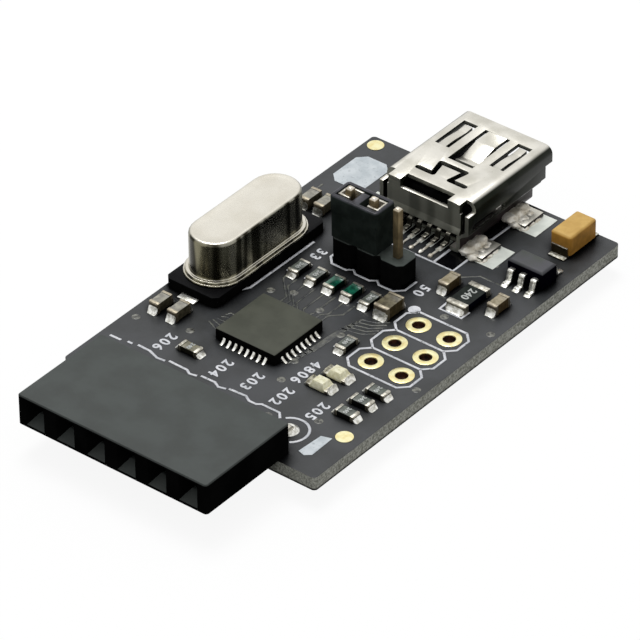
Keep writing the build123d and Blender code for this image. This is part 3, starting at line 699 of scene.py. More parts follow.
def round_off(
    name: str, node: str, radius: float, segments: int, look: Look, body: str = MODULE
) -> None:
    """Replace a CAD node by a copy with rounded edges.

    Args:
        name: The piece's name.
        node: The node.
        radius: Width of the rounding in mm.
        segments: Faces across each rounding.
        look: The piece's finish.
        body: The body that it rides on.
    """
    settle(name, softened(node, radius, segments), [look], [node], body)


def dress(node: str, look: Look) -> None:
    """Give a CAD node that stays its finish.

    Args:
        node: The node.
        look: Its finish.
    """
    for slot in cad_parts[node].material_slots:
        slot.material = look.material()
    log.info("%s: kept, %s", node, look.value.name)


def revolved(
    shape: bmesh.types.BMesh, centre: Point, profile: Sequence[tuple[float, float]], steps: int = 40
) -> None:
    """Add a closed profile turned about an upright axis.

    Args:
        shape: The shape that is added to.
        centre: The axis on the board, in mm.
        profile: Radius and height of each point, round the section.
        steps: Faces round the axis.
    """
    angles = [2 * math.pi * i / steps for i in range(steps)]
    rings = [
        [shape.verts.new(board_frame.point(x, y, height)) for x, y in around(centre, radius, angles)]
        for radius, height in profile
    ]
    bridge(shape, rings, True)


def bridge(shape: bmesh.types.BMesh, rings: Sequence[Sequence[bmesh.types.BMVert]], closed: bool) -> None:
    """Join neighbouring rings of vertices with faces.

    Args:
        shape: The shape that holds the vertices.
        rings: Rings with equal numbers of vertices.
        closed: Whether the last ring joins the first.
    """
    pairs = list(zip(rings, rings[1:]))
    if closed:
        pairs.append((rings[-1], rings[0]))
    for low, high in pairs:
        for i in range(len(low)):
            j = (i + 1) % len(low)
            shape.faces.new((low[i], low[j], high[j], high[i]))


# Geometry trees


class Tree:
    """A geometry tree with named inputs that ends in realised geometry with its material set."""

    def __init__(self, name: str, inputs: Mapping[str, tuple[str, float | None]]) -> None:
        """Start the tree.

        Args:
            name: The tree's name.
            inputs: Socket type and first value of each named input.
        """
        self.tree = bpy.data.node_groups.new(name, "GeometryNodeTree")
        sockets = self.tree.interface
        sockets.new_socket("Geometry", in_out="INPUT", socket_type="NodeSocketGeometry")
        for label, (kind, value) in inputs.items():
            made = sockets.new_socket(label, in_out="INPUT", socket_type=kind)
            if value is not None:
                made.default_value = value
        sockets.new_socket("Material", in_out="INPUT", socket_type="NodeSocketMaterial")
        sockets.new_socket("Geometry", in_out="OUTPUT", socket_type="NodeSocketGeometry")
        self.graph = Graph(self.tree)
        self.start = self.graph.node("NodeGroupInput")

    def given(self, label: str) -> Wire:
        """The wire of a named input."""
        return self.graph.out(self.start, label)

    def end(self, geometry: Wire) -> None:
        """Realise the geometry, set its material and close the tree.

        Args:
            geometry: The finished geometry.
        """
        real = self.graph.node("GeometryNodeRealizeInstances", {}, {"Geometry": geometry})
        sockets = {"Geometry": self.graph.out(real), "Material": self.given("Material")}
        painted = self.graph.node("GeometryNodeSetMaterial", {}, sockets)
        self.graph.node("NodeGroupOutput", {}, {"Geometry": self.graph.out(painted)})

    def run(self, mesh: bpy.types.Mesh, look: Look, **values: float) -> bpy.types.Mesh:
        """Apply the tree to a mesh.

        Args:
            mesh: The mesh that the tree starts from.
            look: The finish that it sets.
            **values: The values of named inputs, with capitals and underscores for spaces.

        Returns:
            The plain result.
        """
        obj = placed(mesh.name, mesh)
        modifier = obj.modifiers.new("shape", "NODES")
        modifier.node_group = self.tree
        known = {item.name: item.identifier for item in self.tree.interface.items_tree if item.in_out == "INPUT"}
        for label, value in values.items():
            modifier[known[label]] = value
        modifier[known["Material"]] = look.material()
        return evaluated(obj)


def strip_tree() -> Tree:
    """Make the tree that sweeps a flat strip along every path of edges.

    Returns:
        The tree, with inputs Width and Height in metres.
    """
    sizes = {"Width": ("NodeSocketFloat", 0.15 * MM), "Height": ("NodeSocketFloat", 0.02 * MM)}
    tree = Tree("strips", sizes)
    graph = tree.graph
    path = graph.node("GeometryNodeMeshToCurve", {}, {"Mesh": tree.given("Geometry")})
    upright = graph.node("GeometryNodeSetCurveNormal", {"mode": "Z_UP"}, {"Curve": graph.out(path)})
    section_size = {"Width": tree.given("Width"), "Height": tree.given("Height")}
    section = graph.node("GeometryNodeCurvePrimitiveQuadrilateral", {}, section_size)
    sockets = {"Curve": graph.out(upright), "Profile Curve": graph.out(section), "Fill Caps": True}
    tree.end(graph.out(graph.node("GeometryNodeCurveToMesh", {}, sockets)))
    return tree


def dome_tree() -> Tree:
    """Make the tree that sets a low dome on every vertex.

    Returns:
        The tree, with inputs Radius and Height in metres.
    """
    sizes = {"Radius": ("NodeSocketFloat", 0.3 * MM), "Height": ("NodeSocketFloat", 0.05 * MM)}
    tree = Tree("domes", sizes)
    graph = tree.graph
    ball = graph.node("GeometryNodeMeshUVSphere", {}, {"Segments": 20, "Rings": 10, "Radius": 1.0})
    radius = tree.given("Radius")
    scale = graph.node("ShaderNodeCombineXYZ", {}, {0: radius, 1: radius, 2: tree.given("Height")})
    sockets = {"Points": tree.given("Geometry"), "Instance": graph.out(ball), "Scale": graph.out(scale)}
    tree.end(graph.out(graph.node("GeometryNodeInstanceOnPoints", {}, sockets)))
    return tree


def path_mesh(name: str, paths: Iterable[Sequence[Point]], height: float) -> bpy.types.Mesh:
    """Make edges along paths on the board.

    Args:
        name: The mesh's name.
        paths: Points of each path in mm.
        height: Height above the board in mm.

    Returns:
        A mesh of edges.
    """
    verts, edges = [], []
    for path in paths:
        first = len(verts)
        verts += [board_frame.point(x, y, height) for x, y in path]
        edges += [(first + i, first + i + 1) for i in range(len(path) - 1)]
    mesh = bpy.data.meshes.new(name)
    mesh.from_pydata(verts, edges, [])
    return mesh


# Board


@dataclass
class BoardDress:
    """The board's mask, traces, vias, print, plated holes and discs, with thin sheets of painted shade."""

    print_width: float = 0.19
    print_height: float = 0.02
    trace_width: float = 0.14
    trace_height: float = 0.024
    label_size: float = 1.08
    label_weight: float = 0.03
    label_spacing: float = 1.3
    ring_radius: float = 0.86
    hole_radius: float = 0.5
    lining: float = 0.07
    ring_dome: float = 0.05
    hole_pitch: float = 2.54
    cell_low: Point = (4.1, 10.78)
    cell_high_x: float = 9.25
    cell_pitch: float = 2.51
    cell_corner: float = 0.62
    tail_ring: tuple[Point, float] = ((6.03, 3.0), 1.3)
    key_dot: tuple[Point, float] = ((4.27, 18.3), 0.43)
    via_size: tuple[float, float] = (0.3, 0.03)
    bore_top: float = -0.02
    bracket_gap: Point = (0.22, 0.2)
    bracket_reach: Point = (0.35, 0.3)
    fan_leads: int = 8
    side_leads: int = 5
    lead_pitch: float = 0.5
    fan_pitch: float = 0.82
    fan_shift: float = -0.4
    fan_end: float = 16.2
    printed_blocks: Sequence[Sequence[Point]] = (
        ((-9.8, 27.4), (-9.8, 29.9), (-9.2, 30.5), (-7.6, 30.5), (-7.0, 29.9), (-7.0, 27.4), (-7.6, 26.8),
         (-9.2, 26.8)),
        ((7.85, 1.65), (8.0, 3.75), (8.75, 3.98), (8.8, 1.85), (8.4, 1.5)),
    )
    # Painted shade sheets: a painted dark reflection in the square and a painted shadow in the strip beside the
    # connector's shell
    painted_shade_blocks: Sequence[Sequence[Point]] = (
        ((2.08, 23.48), (3.48, 23.48), (3.48, 25.4), (3.0, 25.9), (2.08, 26.0)),
        ((3.0, 27.5), (3.3, 27.7), (3.38, 30.66), (3.0, 30.66)),
    )

    def cells(self) -> list[list[Point]]:
        """Outline the three pairs of programming holes.

        Returns:
            One path for each pair, and a last line that closes the chain.
        """
        paths = []
        low_x, low_y = self.cell_low
        corner = self.cell_corner
        for row in range(3):
            y0 = low_y + row * self.cell_pitch
            y1 = y0 + self.cell_pitch
            paths.append([
                (low_x + corner, y1), (low_x, y1 - corner), (low_x, y0 + corner), (low_x + corner, y0),
                (self.cell_high_x - corner, y0), (self.cell_high_x, y0 + corner),
                (self.cell_high_x, y1 - corner), (self.cell_high_x - corner, y1),
            ])
        top = low_y + 3 * self.cell_pitch
        paths.append([(low_x + corner, top), (self.cell_high_x - corner, top)])
        return paths

    def lines(self) -> list[list[Point]]:
        """List the printed lines.

        Returns:
            Points of each line in mm.
        """
        ring = around(*self.tail_ring, [math.radians(a) for a in range(-52, 141, 12)])
        return self.cells() + [
            [(-9.73, 3.79), (-8.81, 3.81)],
            [(-8.35, 3.95), (-7.95, 3.95)],
            [(-7.57, 4.07), (-6.53, 4.05), (-5.67, 3.74), (-5.05, 3.81)],
            [(-4.84, 3.97), (-3.29, 3.94), (-2.9, 3.7), (-2.36, 3.83)],
            [(-2.15, 3.99), (-1.0, 4.02), (-0.52, 3.75), (0.02, 3.9)],
            [(0.17, 4.02), (1.52, 4.11), (2.01, 3.82), (2.6, 3.82), (2.9, 4.05), (4.36, 4.05), (4.75, 3.6)],
            ring,
            [(-9.0, 10.28), (-8.2, 10.32), (-7.26, 10.49)],
            [(-6.24, 12.9), (-5.85, 13.6), (-5.8, 20.3)],
            [(-2.4, 23.35), (3.6, 23.35), (3.6, 25.4)],
            [(1.95, 23.4), (1.95, 25.9)],
            [(3.23, 27.5), (3.45, 27.9), (3.49, 30.66)],
            [(-3.85, 21.1), (-3.85, 19.65), (-3.3, 19.07), (-2.1, 19.07), (-1.7, 19.4), (-1.3, 19.07),
             (-0.1, 19.07), (0.3, 19.4), (0.7, 19.07), (1.85, 19.07), (2.44, 19.65), (2.44, 20.9)],
            [(5.5, 20.3), (5.5, 19.42), (7.3, 19.42), (7.3, 20.3)],
        ] + self.brackets()

    def brackets(self) -> list[list[Point]]:
        """Print a corner line beside each resistor.

        Returns:
            Points of each line in mm.
        """
        paths = []
        for node in Family.RESISTOR.nodes():
            low, high = board_frame.box(node)
            side, top = low.x - self.bracket_gap[0], high.y + self.bracket_gap[1]
            along, down = self.bracket_reach
            paths.append([(side + along, top), (side, top), (side, low.y + down)])
        return paths

    def labels(self) -> list[tuple[str, float, float]]:
        """List the printed numbers.

        Returns:
            Text and place of each number.
        """
        pins = [("206", -6.45, 5.42), ("204", -1.7, 5.45), ("203", 0.8, 5.57), ("202", 3.35, 5.5), ("205", 6.15, 5.65)]
        return pins + [("4806", 2.95, 8.5), ("33", -4.7, 19.35), ("50", 3.3, 20.3)]

    def traces(self) -> list[list[Point]]:
        """Route traces from the interface chip to its neighbours.

        Returns:
            Points of each trace in mm.
        """
        low, high = board_frame.box("bridge_chip_body")
        middle_x = (low.x + high.x) / 2
        paths = []
        for i in range(self.fan_leads):
            step = i - (self.fan_leads - 1) / 2
            lead = middle_x + step * self.lead_pitch
            spread = middle_x + step * self.fan_pitch + self.fan_shift
            jog = high.y + 0.7 + 0.22 * abs(step)
            paths.append([(lead, high.y), (lead, jog), (spread, jog + abs(spread - lead)), (spread, self.fan_end)])
        for i in range(self.side_leads):
            lead = low.y + 0.8 + self.lead_pitch * i
            turn = 13.7 + 0.4 * i
            x = high.x + 0.5 + 0.12 * i
            paths.append([(high.x, lead), (x, lead), (x + 0.3, turn), (3.2, turn + 0.3), (3.9, turn + 0.9)])
            paths.append([(low.x, lead), (low.x - 0.6 - 0.1 * i, lead), (-5.6 + 0.1 * i, 9.0 + 0.3 * i)])
        return paths + [
            [(4.2, 22.9), (5.4, 24.0), (8.2, 24.0)],
            [(-9.6, 22.4), (-9.6, 26.0)],
            [(-5.4, 22.4), (-5.4, 30.5), (-4.6, 31.4)],
        ]

    def vias(self) -> list[Point]:
        """Places of the vias."""
        return [
            (-4.6, 14.2), (-3.2, 14.9), (-0.6, 14.4), (2.2, 13.1), (1.6, 9.0), (2.2, 6.9), (6.9, 4.9), (9.8, 11.4),
            (9.9, 19.2), (5.4, 25.6), (-4.9, 24.9), (-6.4, 25.6), (-9.7, 6.4), (-5.9, 7.4), (3.9, 3.4), (6.3, 18.9),
        ]

    def plating(self) -> bpy.types.Mesh:
        """Build the rings and linings of the programming holes.

        Returns:
            One mesh with gold rings and dark bores.
        """
        low, high = board_frame.box("icsp_rings")
        bottom = board_frame.box("board")[0].z
        outer, lip = self.ring_radius, self.ring_dome
        wall = self.hole_radius - self.lining
        profile = [
            (outer, 0.0), (outer, 0.6 * high.z), (outer - lip, high.z), (wall + 2 * lip, high.z),
            (wall + 0.6 * lip, 0.8 * high.z), (wall, 0.1 * high.z - lip / 2), (wall, bottom + lip / 2),
            (wall + 0.6 * lip, 0.2 * bottom + 0.8 * low.z), (wall + 2 * lip, low.z), (outer - lip, low.z),
            (outer, bottom - 0.02), (outer, bottom), (self.hole_radius, bottom), (self.hole_radius, 0.0),
        ]
        shape = bmesh.new()
        for row in range(3):
            for column in range(2):
                centre = (low.x + outer + column * self.hole_pitch, low.y + outer + row * self.hole_pitch)
                revolved(shape, centre, profile)
        mesh = shaded(to_mesh("programming_rings", shape), angle=50.0)
        for face in mesh.polygons:
            local = board_frame.local(face.center)
            face.material_index = 1 if bottom < local.z < self.bore_top else 0
        return mesh

    def text_mesh(self, text: str, x: float, y: float, size: float, height: float) -> bpy.types.Mesh:
        """Build one printed number that reads from the back of the board to its front.

        Args:
            text: The number.
            x: Place of its middle across the board.
            y: Place of its middle along the board.
            size: Size of the type.
            height: Height of the surface that it is printed on.

        Returns:
            The mesh in place.
        """
        curve = bpy.data.curves.new("number", "FONT")
        curve.body = text
        curve.size = size
        curve.align_x = "CENTER"
        curve.align_y = "CENTER"
        curve.extrude = self.print_height / 2
        curve.offset = self.label_weight
        curve.space_character = self.label_spacing
        curve.resolution_u = 3
        mesh = evaluated(placed("number", curve))
        turn = Matrix.Rotation(-math.pi / 2, 4, "Z") @ Matrix.Scale(MM, 4)
        place = board_frame.point(x, y, height + self.print_height / 2)
        mesh.transform(Matrix.Translation(place) @ turn)
        return mesh

    def patch(self, rim: Sequence[Point]) -> bpy.types.Mesh:
        """Build a thin block on the board: a printed one or a sheet of painted shade.

        Args:
            rim: Its corners in order.

        Returns:
            The mesh in place.
        """
        shape = bmesh.new()
        levels = (0.0, self.print_height)
        rings = [[shape.verts.new(board_frame.point(x, y, z)) for x, y in rim] for z in levels]
        bridge(shape, rings, False)
        for ring in rings:
            shape.faces.new(ring)
        return to_mesh("printed_block", shape)

    def build(self, strips: Tree, domes: Tree) -> None:
        """Build the board's pieces.

        Args:
            strips: The tree for printed lines and traces.
            domes: The tree for vias and dots.
        """
        dress("board", Look.MASK)
        dress("fiducials", Look.GOLD)
        routes = path_mesh("trace_paths", self.traces(), 0.0)
        made = strips.run(routes, Look.TRACE, Width=self.trace_width * MM, Height=self.trace_height * MM)
        settle("traces", made, [Look.TRACE])
        spots = bpy.data.meshes.new("via_places")
        spots.from_pydata([board_frame.point(x, y) for x, y in self.vias()], [], [])
        radius, height = self.via_size
        made = domes.run(spots, Look.VIA, Radius=radius * MM, Height=height * MM)
        settle("vias", shaded(made), [Look.VIA])
        outlines = path_mesh("print_paths", self.lines(), self.print_height / 2)
        printed = [strips.run(outlines, Look.PRINT, Width=self.print_width * MM, Height=self.print_height * MM)]
        printed += [self.text_mesh(text, x, y, self.label_size, 0.0) for text, x, y in self.labels()]
        printed.append(self.patch(around(*self.key_dot, [math.radians(a) for a in range(0, 360, 20)])))
        settle("print", joined("print", printed), [Look.PRINT])
        # The painted shade sheets, then the printed blocks
        for name, blocks, look in (
            ("painted_shade_patches", self.painted_shade_blocks, Look.PAINTED_SHADE),
            ("print_patches", self.printed_blocks, Look.PATCH),
        ):
            settle(name, joined(name, [self.patch(rim) for rim in blocks]), [look])
        settle("programming_rings", self.plating(), [Look.GOLD, Look.BORE], ["icsp_rings"])


# Solder

WEDGE_STEPS = 5
WEDGE_TOE = 0.02
WEDGE_TAPER = 0.28
WEDGE_SECTION = ((-1, 0.0), (-1, 0.7), (-0.7, 1.0), (0.7, 1.0), (1, 0.7), (1, 0.0))
LUMP_PATCHES = 1.8
SEED_STEPS = (3.7, 1.3)


def solder_wedge(
    shape: bmesh.types.BMesh, foot: Vector, outward: Vector, width: float, reach: float, rise: float
) -> None:
    """Add a hollow-faced fillet of solder.

    Args:
        shape: The shape that is added to.
        foot: Middle of the wall's foot, in the board's frame.
        outward: Unit direction away from the wall.
        width: Width along the wall.
        reach: How far it runs out.
        rise: How far it climbs.
    """
    across = Vector((-outward.y, outward.x, 0.0))
    rings = []
    for i in range(WEDGE_STEPS + 1):
        share = i / WEDGE_STEPS
        height = rise * (1 - share) ** 2.0 + WEDGE_TOE
        half = width / 2 * (1 - WEDGE_TAPER * share ** 3)
        ring = []
        for side, level in WEDGE_SECTION:
            place = foot + outward * (reach * share) + across * (side * half) + Vector((0, 0, height * level))
            ring.append(shape.verts.new(board_frame.point(*place)))
        rings.append(ring)
    bridge(shape, rings, False)
    shape.faces.new(rings[0])
    shape.faces.new(rings[-1])


def lump(shape: bmesh.types.BMesh, centre: Vector, radii: Vector, seed: int, rough: float) -> None:
    """Add an uneven lump of solder.

    Args:
        shape: The shape that is added to.
        centre: Its middle in the board's frame.
        radii: Its half size on each axis.
        seed: Number that sets its unevenness.
        rough: Share of its size that it varies by.
    """
    made = bmesh.ops.create_icosphere(shape, subdivisions=3, radius=1.0)
    for vert in made["verts"]:
        way = vert.co.normalized()
        shift = Vector((seed * SEED_STEPS[0], seed * SEED_STEPS[1], 0))
        change = 1 + rough * noise.noise(way * LUMP_PATCHES + shift)
        place = centre + way * radii * change
        place.z = max(place.z, 0.0)
        vert.co = board_frame.point(*place)


# Socket


@dataclass
class SocketDress:
    """The pin socket with its contacts and soldered tails."""

    edge_radius: float = 0.1
    joint_radius: float = 0.06
    hidden_joint_share: float = 0.7

    def joints(self) -> bpy.types.Mesh:
        """Build the tails' solder, slimmer where the housing hides it.

        Returns:
            One mesh of all the joints.
        """
        mesh = softened("socket_solder", self.joint_radius, 2)
        low, high = board_frame.box("socket_solder")
        boxes = [board_frame.box(f"socket_contact_{i}") for i in range(1, 7)]
        axes = [(first.x + last.x) / 2 for first, last in boxes]
        for vert in mesh.vertices:
            place = board_frame.local(vert.co)
            axis = min(axes, key=lambda x: abs(x - place.x))
            if axis < max(axes):
                centre = Vector((axis, (low.y + high.y) / 2, min(place.z, 0.0)))
                vert.co = board_frame.point(*centre.lerp(place, self.hidden_joint_share))
        return mesh

    def build(self) -> None:
        """Build the socket's pieces."""
        round_off("socket_body", "socket_housing", self.edge_radius, 3, Look.SOCKET)
        settle("socket_joints", self.joints(), [Look.TIN], ["socket_solder"])
        for i in range(1, 7):
            dress(f"socket_contact_{i}", Look.CONTACT)


# Cable connector


@dataclass
class ConnectorDress:
    """The cable connector with its shell, insulator, contacts and solder."""

    edge_radius: float = 0.05
    thin_radius: float = 0.03
    contact_radius: float = 0.02
    foot_places: Sequence[float] = (1.2, 5.95)
    lumps: Sequence[tuple[float, float, float]] = ((0.25, 0.0, 0.42), (0.8, 0.14, 0.55), (1.4, 0.36, 0.6))
    lump_shifts: Sequence[float] = (-0.62, 0.0, 0.62)
    lump_flatness: float = 0.5
    lump_roughness: float = 0.3
    contact_half_width: float = 0.18
    contacts: int = 5
    beads: Sequence[Point] = ((24.5, 0.75), (23.8, 0.22), (24.95, 0.3))
    bead_roughness: float = 0.25
    bead_level: float = 0.03
    bead_width: Point = (0.17, 0.1)
    bead_rise: Point = (0.16, 1.1)

    def build(self) -> None:
        """Build the connector's pieces."""
        round_off("shell", "usb_shell", self.edge_radius, 2, Look.SHELL)
        round_off("insulator", "usb_insulator", self.thin_radius, 1, Look.BLACK)
        round_off("contact_row", "usb_contacts", self.contact_radius, 1, Look.CONTACT_ROW)
        round_off("lands", "usb_pads", self.thin_radius, 1, Look.LAND)
        self.build_solder()

    def build_solder(self) -> None:
        """Build the lumps over the feet and the bars and beads on the contacts' pads."""
        low, high = board_frame.box("usb_shell")
        contacts_low, contacts_high = board_frame.box("usb_contacts")
        shape = bmesh.new()
        seeds = count(1)
        for (side, edge), foot in product(((-1, low.x), (1, high.x)), self.foot_places):
            for (inward, rise, size), shift in product(self.lumps, self.lump_shifts):
                centre = Vector((edge - side * inward, low.y + foot + shift, rise))
                lump(shape, centre, Vector((size, size, self.lump_flatness * size)), next(seeds), self.lump_roughness)
        width = contacts_high.x - contacts_low.x - 2 * self.contact_half_width
        for i, (y, half) in product(range(self.contacts), self.beads):
            x = contacts_low.x + self.contact_half_width + width * i / (self.contacts - 1)
            across = self.bead_width[0] - self.bead_width[1] * half
            radii = Vector((across, half, self.bead_rise[0] * (self.bead_rise[1] - half)))
            lump(shape, Vector((x, y, self.bead_level)), radii, next(seeds), self.bead_roughness)
        settle("connector_solder", shaded(to_mesh("connector_solder", shape), angle=80.0), [Look.FLUX])


# Crystal


def arc(steps: int, sweep: float = math.pi / 2) -> list[Point]:
    """Follow an arc in equal steps, with both of its ends.

    Args:
        steps: Number of steps.
        sweep: Angle of the whole arc.

    Returns:
        Sine, and 1 less the cosine, of each angle.
    """
    angles = [sweep * i / steps for i in range(steps + 1)]
    return [(math.sin(angle), 1 - math.cos(angle)) for angle in angles]


@dataclass
class CrystalDress:
    """The sealed can with its rolled flange, its base and its leads."""

    corner_steps: int = 14
    flange_height: float = 0.2
    rim_step: float = 0.24
    rim_height: float = 0.16
    can_step: float = 0.84
    top_radius: float = 0.26
    root_radius: float = 0.1
    dish: float = 0.03
    plate_radius: float = 0.12
    tab_radius: float = 0.03
    dish_insets: Sequence[float] = (0.35, 1.4)
    rim_root: float = 0.03
    rim_rounding: float = 0.1
    roll_steps: int = 8
    rim_steps: int = 5
    root_steps: int = 6
    top_steps: int = 8

    def ring(self, length: float, width: float, height: float) -> list[Vector]:
        """Outline a round-ended ring.

        Args:
            length: Its length along the board.
            width: Its width across the board.
            height: Its height above the board.

        Returns:
            Its points in order.
        """
        low, high = board_frame.box("crystal_can")
        middle = (low + high) / 2
        points = []
        for end in (1, -1):
            for i in range(self.corner_steps + 1):
                angle = math.pi * i / self.corner_steps + (0 if end > 0 else math.pi)
                x = middle.x + width / 2 * math.cos(angle)
                y = middle.y + end * (length - width) / 2 + width / 2 * math.sin(angle)
                points.append(board_frame.point(x, y, height))
        return points

    def rings(self) -> list[tuple[float, float, float]]:
        """List the can's section from its lower face to the middle of its top.

        Returns:
            Length, width and height of each ring.
        """
        low, high = board_frame.box("crystal_can")
        length, width = high.y - low.y, high.x - low.x
        base, top = low.z, high.z
        rim = base + self.flange_height
        rim_top = rim + self.rim_height
        roll = self.flange_height / 2
        can_length, can_width = length - self.can_step, width - self.can_step
        rings = [(length - 2 * roll, width - 2 * roll, base)]
        for sine, rise in arc(self.roll_steps, math.pi)[1:-1]:
            inset = 2 * roll * (1 - sine)
            rings.append((length - inset, width - inset, base + roll * rise))
        rings.append((length - self.rim_step, width - self.rim_step, rim - self.rim_root))
        for sine, rise in arc(self.rim_steps)[1:]:
            inset = self.rim_step + 2 * self.rim_rounding * rise
            rings.append((length - inset, width - inset, rim + self.rim_height * sine))
        for sine, rise in arc(self.root_steps):
            inset = -2 * self.root_radius * (1 - sine)
            rings.append((can_length - inset, can_width - inset, rim_top + self.root_radius * rise))
        for sine, rise in arc(self.top_steps):
            inset = 2 * self.top_radius * rise
            rings.append((can_length - inset, can_width - inset, top - self.top_radius * (1 - sine)))
        for inner in self.dish_insets:
            inset = 2 * self.top_radius + inner
            rings.append((can_length - inset, can_width - inset, top - self.dish))
        return rings

    def build(self) -> None:
        """Build the crystal's pieces."""
        shape = bmesh.new()
        rings = [[shape.verts.new(point) for point in self.ring(*sizes)] for sizes in self.rings()]
        bridge(shape, rings, False)
        shape.faces.new(rings[0])
        shape.faces.new(rings[-1])
        settle("can", shaded(to_mesh("can", shape), angle=60.0), [Look.CAN], ["crystal_can"])
        round_off("crystal_plate", "crystal_base", self.plate_radius, 3, Look.BLACK)
        round_off("crystal_tabs", "crystal_leads", self.tab_radius, 2, Look.TIN)


# Voltage selector


@dataclass
class SelectorDress:
    """The three-pin header and the jumper on two of its pins."""

    edge_radius: float = 0.06
    joint_radius: float = 0.05
    pin_radius: float = 0.04
    clip_radius: float = 0.03

    def build(self) -> None:
        """Build the header's and the jumper's pieces."""
        round_off("pin_holder", "header_base", self.edge_radius, 2, Look.HEADER)
        round_off("header_joints", "header_solder", self.joint_radius, 2, Look.TIN)
        for i in range(1, 4):
            round_off(f"pin_{i}", f"header_pin_{i}", self.pin_radius, 2, Look.PIN)
        round_off("jumper_cap", "jumper_housing", self.edge_radius, 2, Look.JUMPER, JUMPER)
        round_off("jumper_spring", "jumper_clip", self.clip_radius, 2, Look.CONTACT, JUMPER)


# Packages


@dataclass
class PackageDress:
    """The interface chip, the regulator and the tantalum capacitor."""

    lead_pitch: float = 0.5
    lead_width: float = 0.22
    leads_per_side: int = 8
    leg_width: float = 0.42
    toe_reach: float = 0.4
    toe_rise: float = 0.17
    toe_overlap: float = 0.15
    toe_margin: float = 0.06
    lead_overlap: float = 0.01
    body_radius: float = 0.05
    tantalum_radius: float = 0.07
    leg_radius: float = 0.03
    tab_radius: float = 0.02

    def bridge_leads(self) -> bpy.types.Mesh:
        """Build the soldered leads along the interface chip's sides.

        Returns:
            One mesh of all the leads.
        """
        low, high = board_frame.box("bridge_chip_body")
        middle = (low + high) / 2
        reach_high = board_frame.box("bridge_chip_leads")[1]
        half = (high.x - low.x) / 2
        shape = bmesh.new()
        for x, y in ((1, 0), (0, 1), (-1, 0), (0, -1)):
            outward, across = Vector((x, y, 0.0)), Vector((-y, x, 0.0))
            for i in range(self.leads_per_side):
                shift = (i - (self.leads_per_side - 1) / 2) * self.lead_pitch
                foot = Vector((middle.x, middle.y, 0)) + outward * (half - self.lead_overlap) + across * shift
                reach, rise = reach_high.x - high.x, reach_high.z - WEDGE_TOE
                solder_wedge(shape, foot, outward, self.lead_width, reach, rise)
        return shaded(to_mesh("bridge_lead_row", shape), angle=60.0)

    def regulator_toes(self) -> bpy.types.Mesh:
        """Build the solder at the ends of the regulator's legs.

        Returns:
            One mesh of all the fillets.
        """
        low, high = board_frame.box("regulator_leads")
        shape = bmesh.new()
        for y, way, shares in ((low.y, -1, (0.0, 0.5, 1.0)), (high.y, 1, (0.0, 1.0))):
            for share in shares:
                x = low.x + self.leg_width / 2 + (high.x - low.x - self.leg_width) * share
                foot = Vector((x, y - way * self.toe_overlap, 0.0))
                width = self.leg_width + self.toe_margin
                solder_wedge(shape, foot, Vector((0, way, 0)), width, self.toe_reach, self.toe_rise)
        return shaded(to_mesh("regulator_toes", shape), angle=60.0)

    def build(self) -> None:
        """Build the packages' pieces."""
        round_off("bridge_package", "bridge_chip_body", self.body_radius, 2, Look.BRIDGE_CHIP)
        settle("bridge_lead_row", self.bridge_leads(), [Look.TIN], ["bridge_chip_leads"])
        round_off("regulator_package", "regulator_body", self.body_radius, 2, Look.REGULATOR)
        round_off("regulator_legs", "regulator_leads", self.leg_radius, 2, Look.TIN)
        settle("regulator_toes", self.regulator_toes(), [Look.TIN])
        round_off("tantalum_block", "tantalum_body", self.tantalum_radius, 3, Look.TANTALUM)
        round_off("tantalum_tabs", "tantalum_terminals", self.tab_radius, 2, Look.TANTALUM_TAB)


# Two-terminal chips


class Family(Enum):
    """The kinds of two-terminal chip: start of their nodes' names, finish, finish of their ends, slot."""

    CAPACITOR = ("capacitor", Look.CERAMIC, Look.CERAMIC_END, "ceramic")
    RESISTOR = ("resistor", Look.RESISTOR, Look.CHIP_END, "black_ceramic")
    VARISTOR = ("varistor", Look.VARISTOR, Look.CHIP_END, "green_ceramic")
    LAMP = ("led", Look.LAMP, Look.CHIP_END, "led_resin")
    FUSE = ("fuse", Look.FUSE, Look.CHIP_END, "fuse_body")

    def nodes(self) -> list[str]:
        """The family's CAD nodes in order."""
        return sorted(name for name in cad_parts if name.startswith(self.value[0]))


def long_axis(low: Vector, high: Vector) -> int:
    """Number of the board's axis along which a box is longer."""
    return 0 if high.x - low.x > high.y - low.y else 1


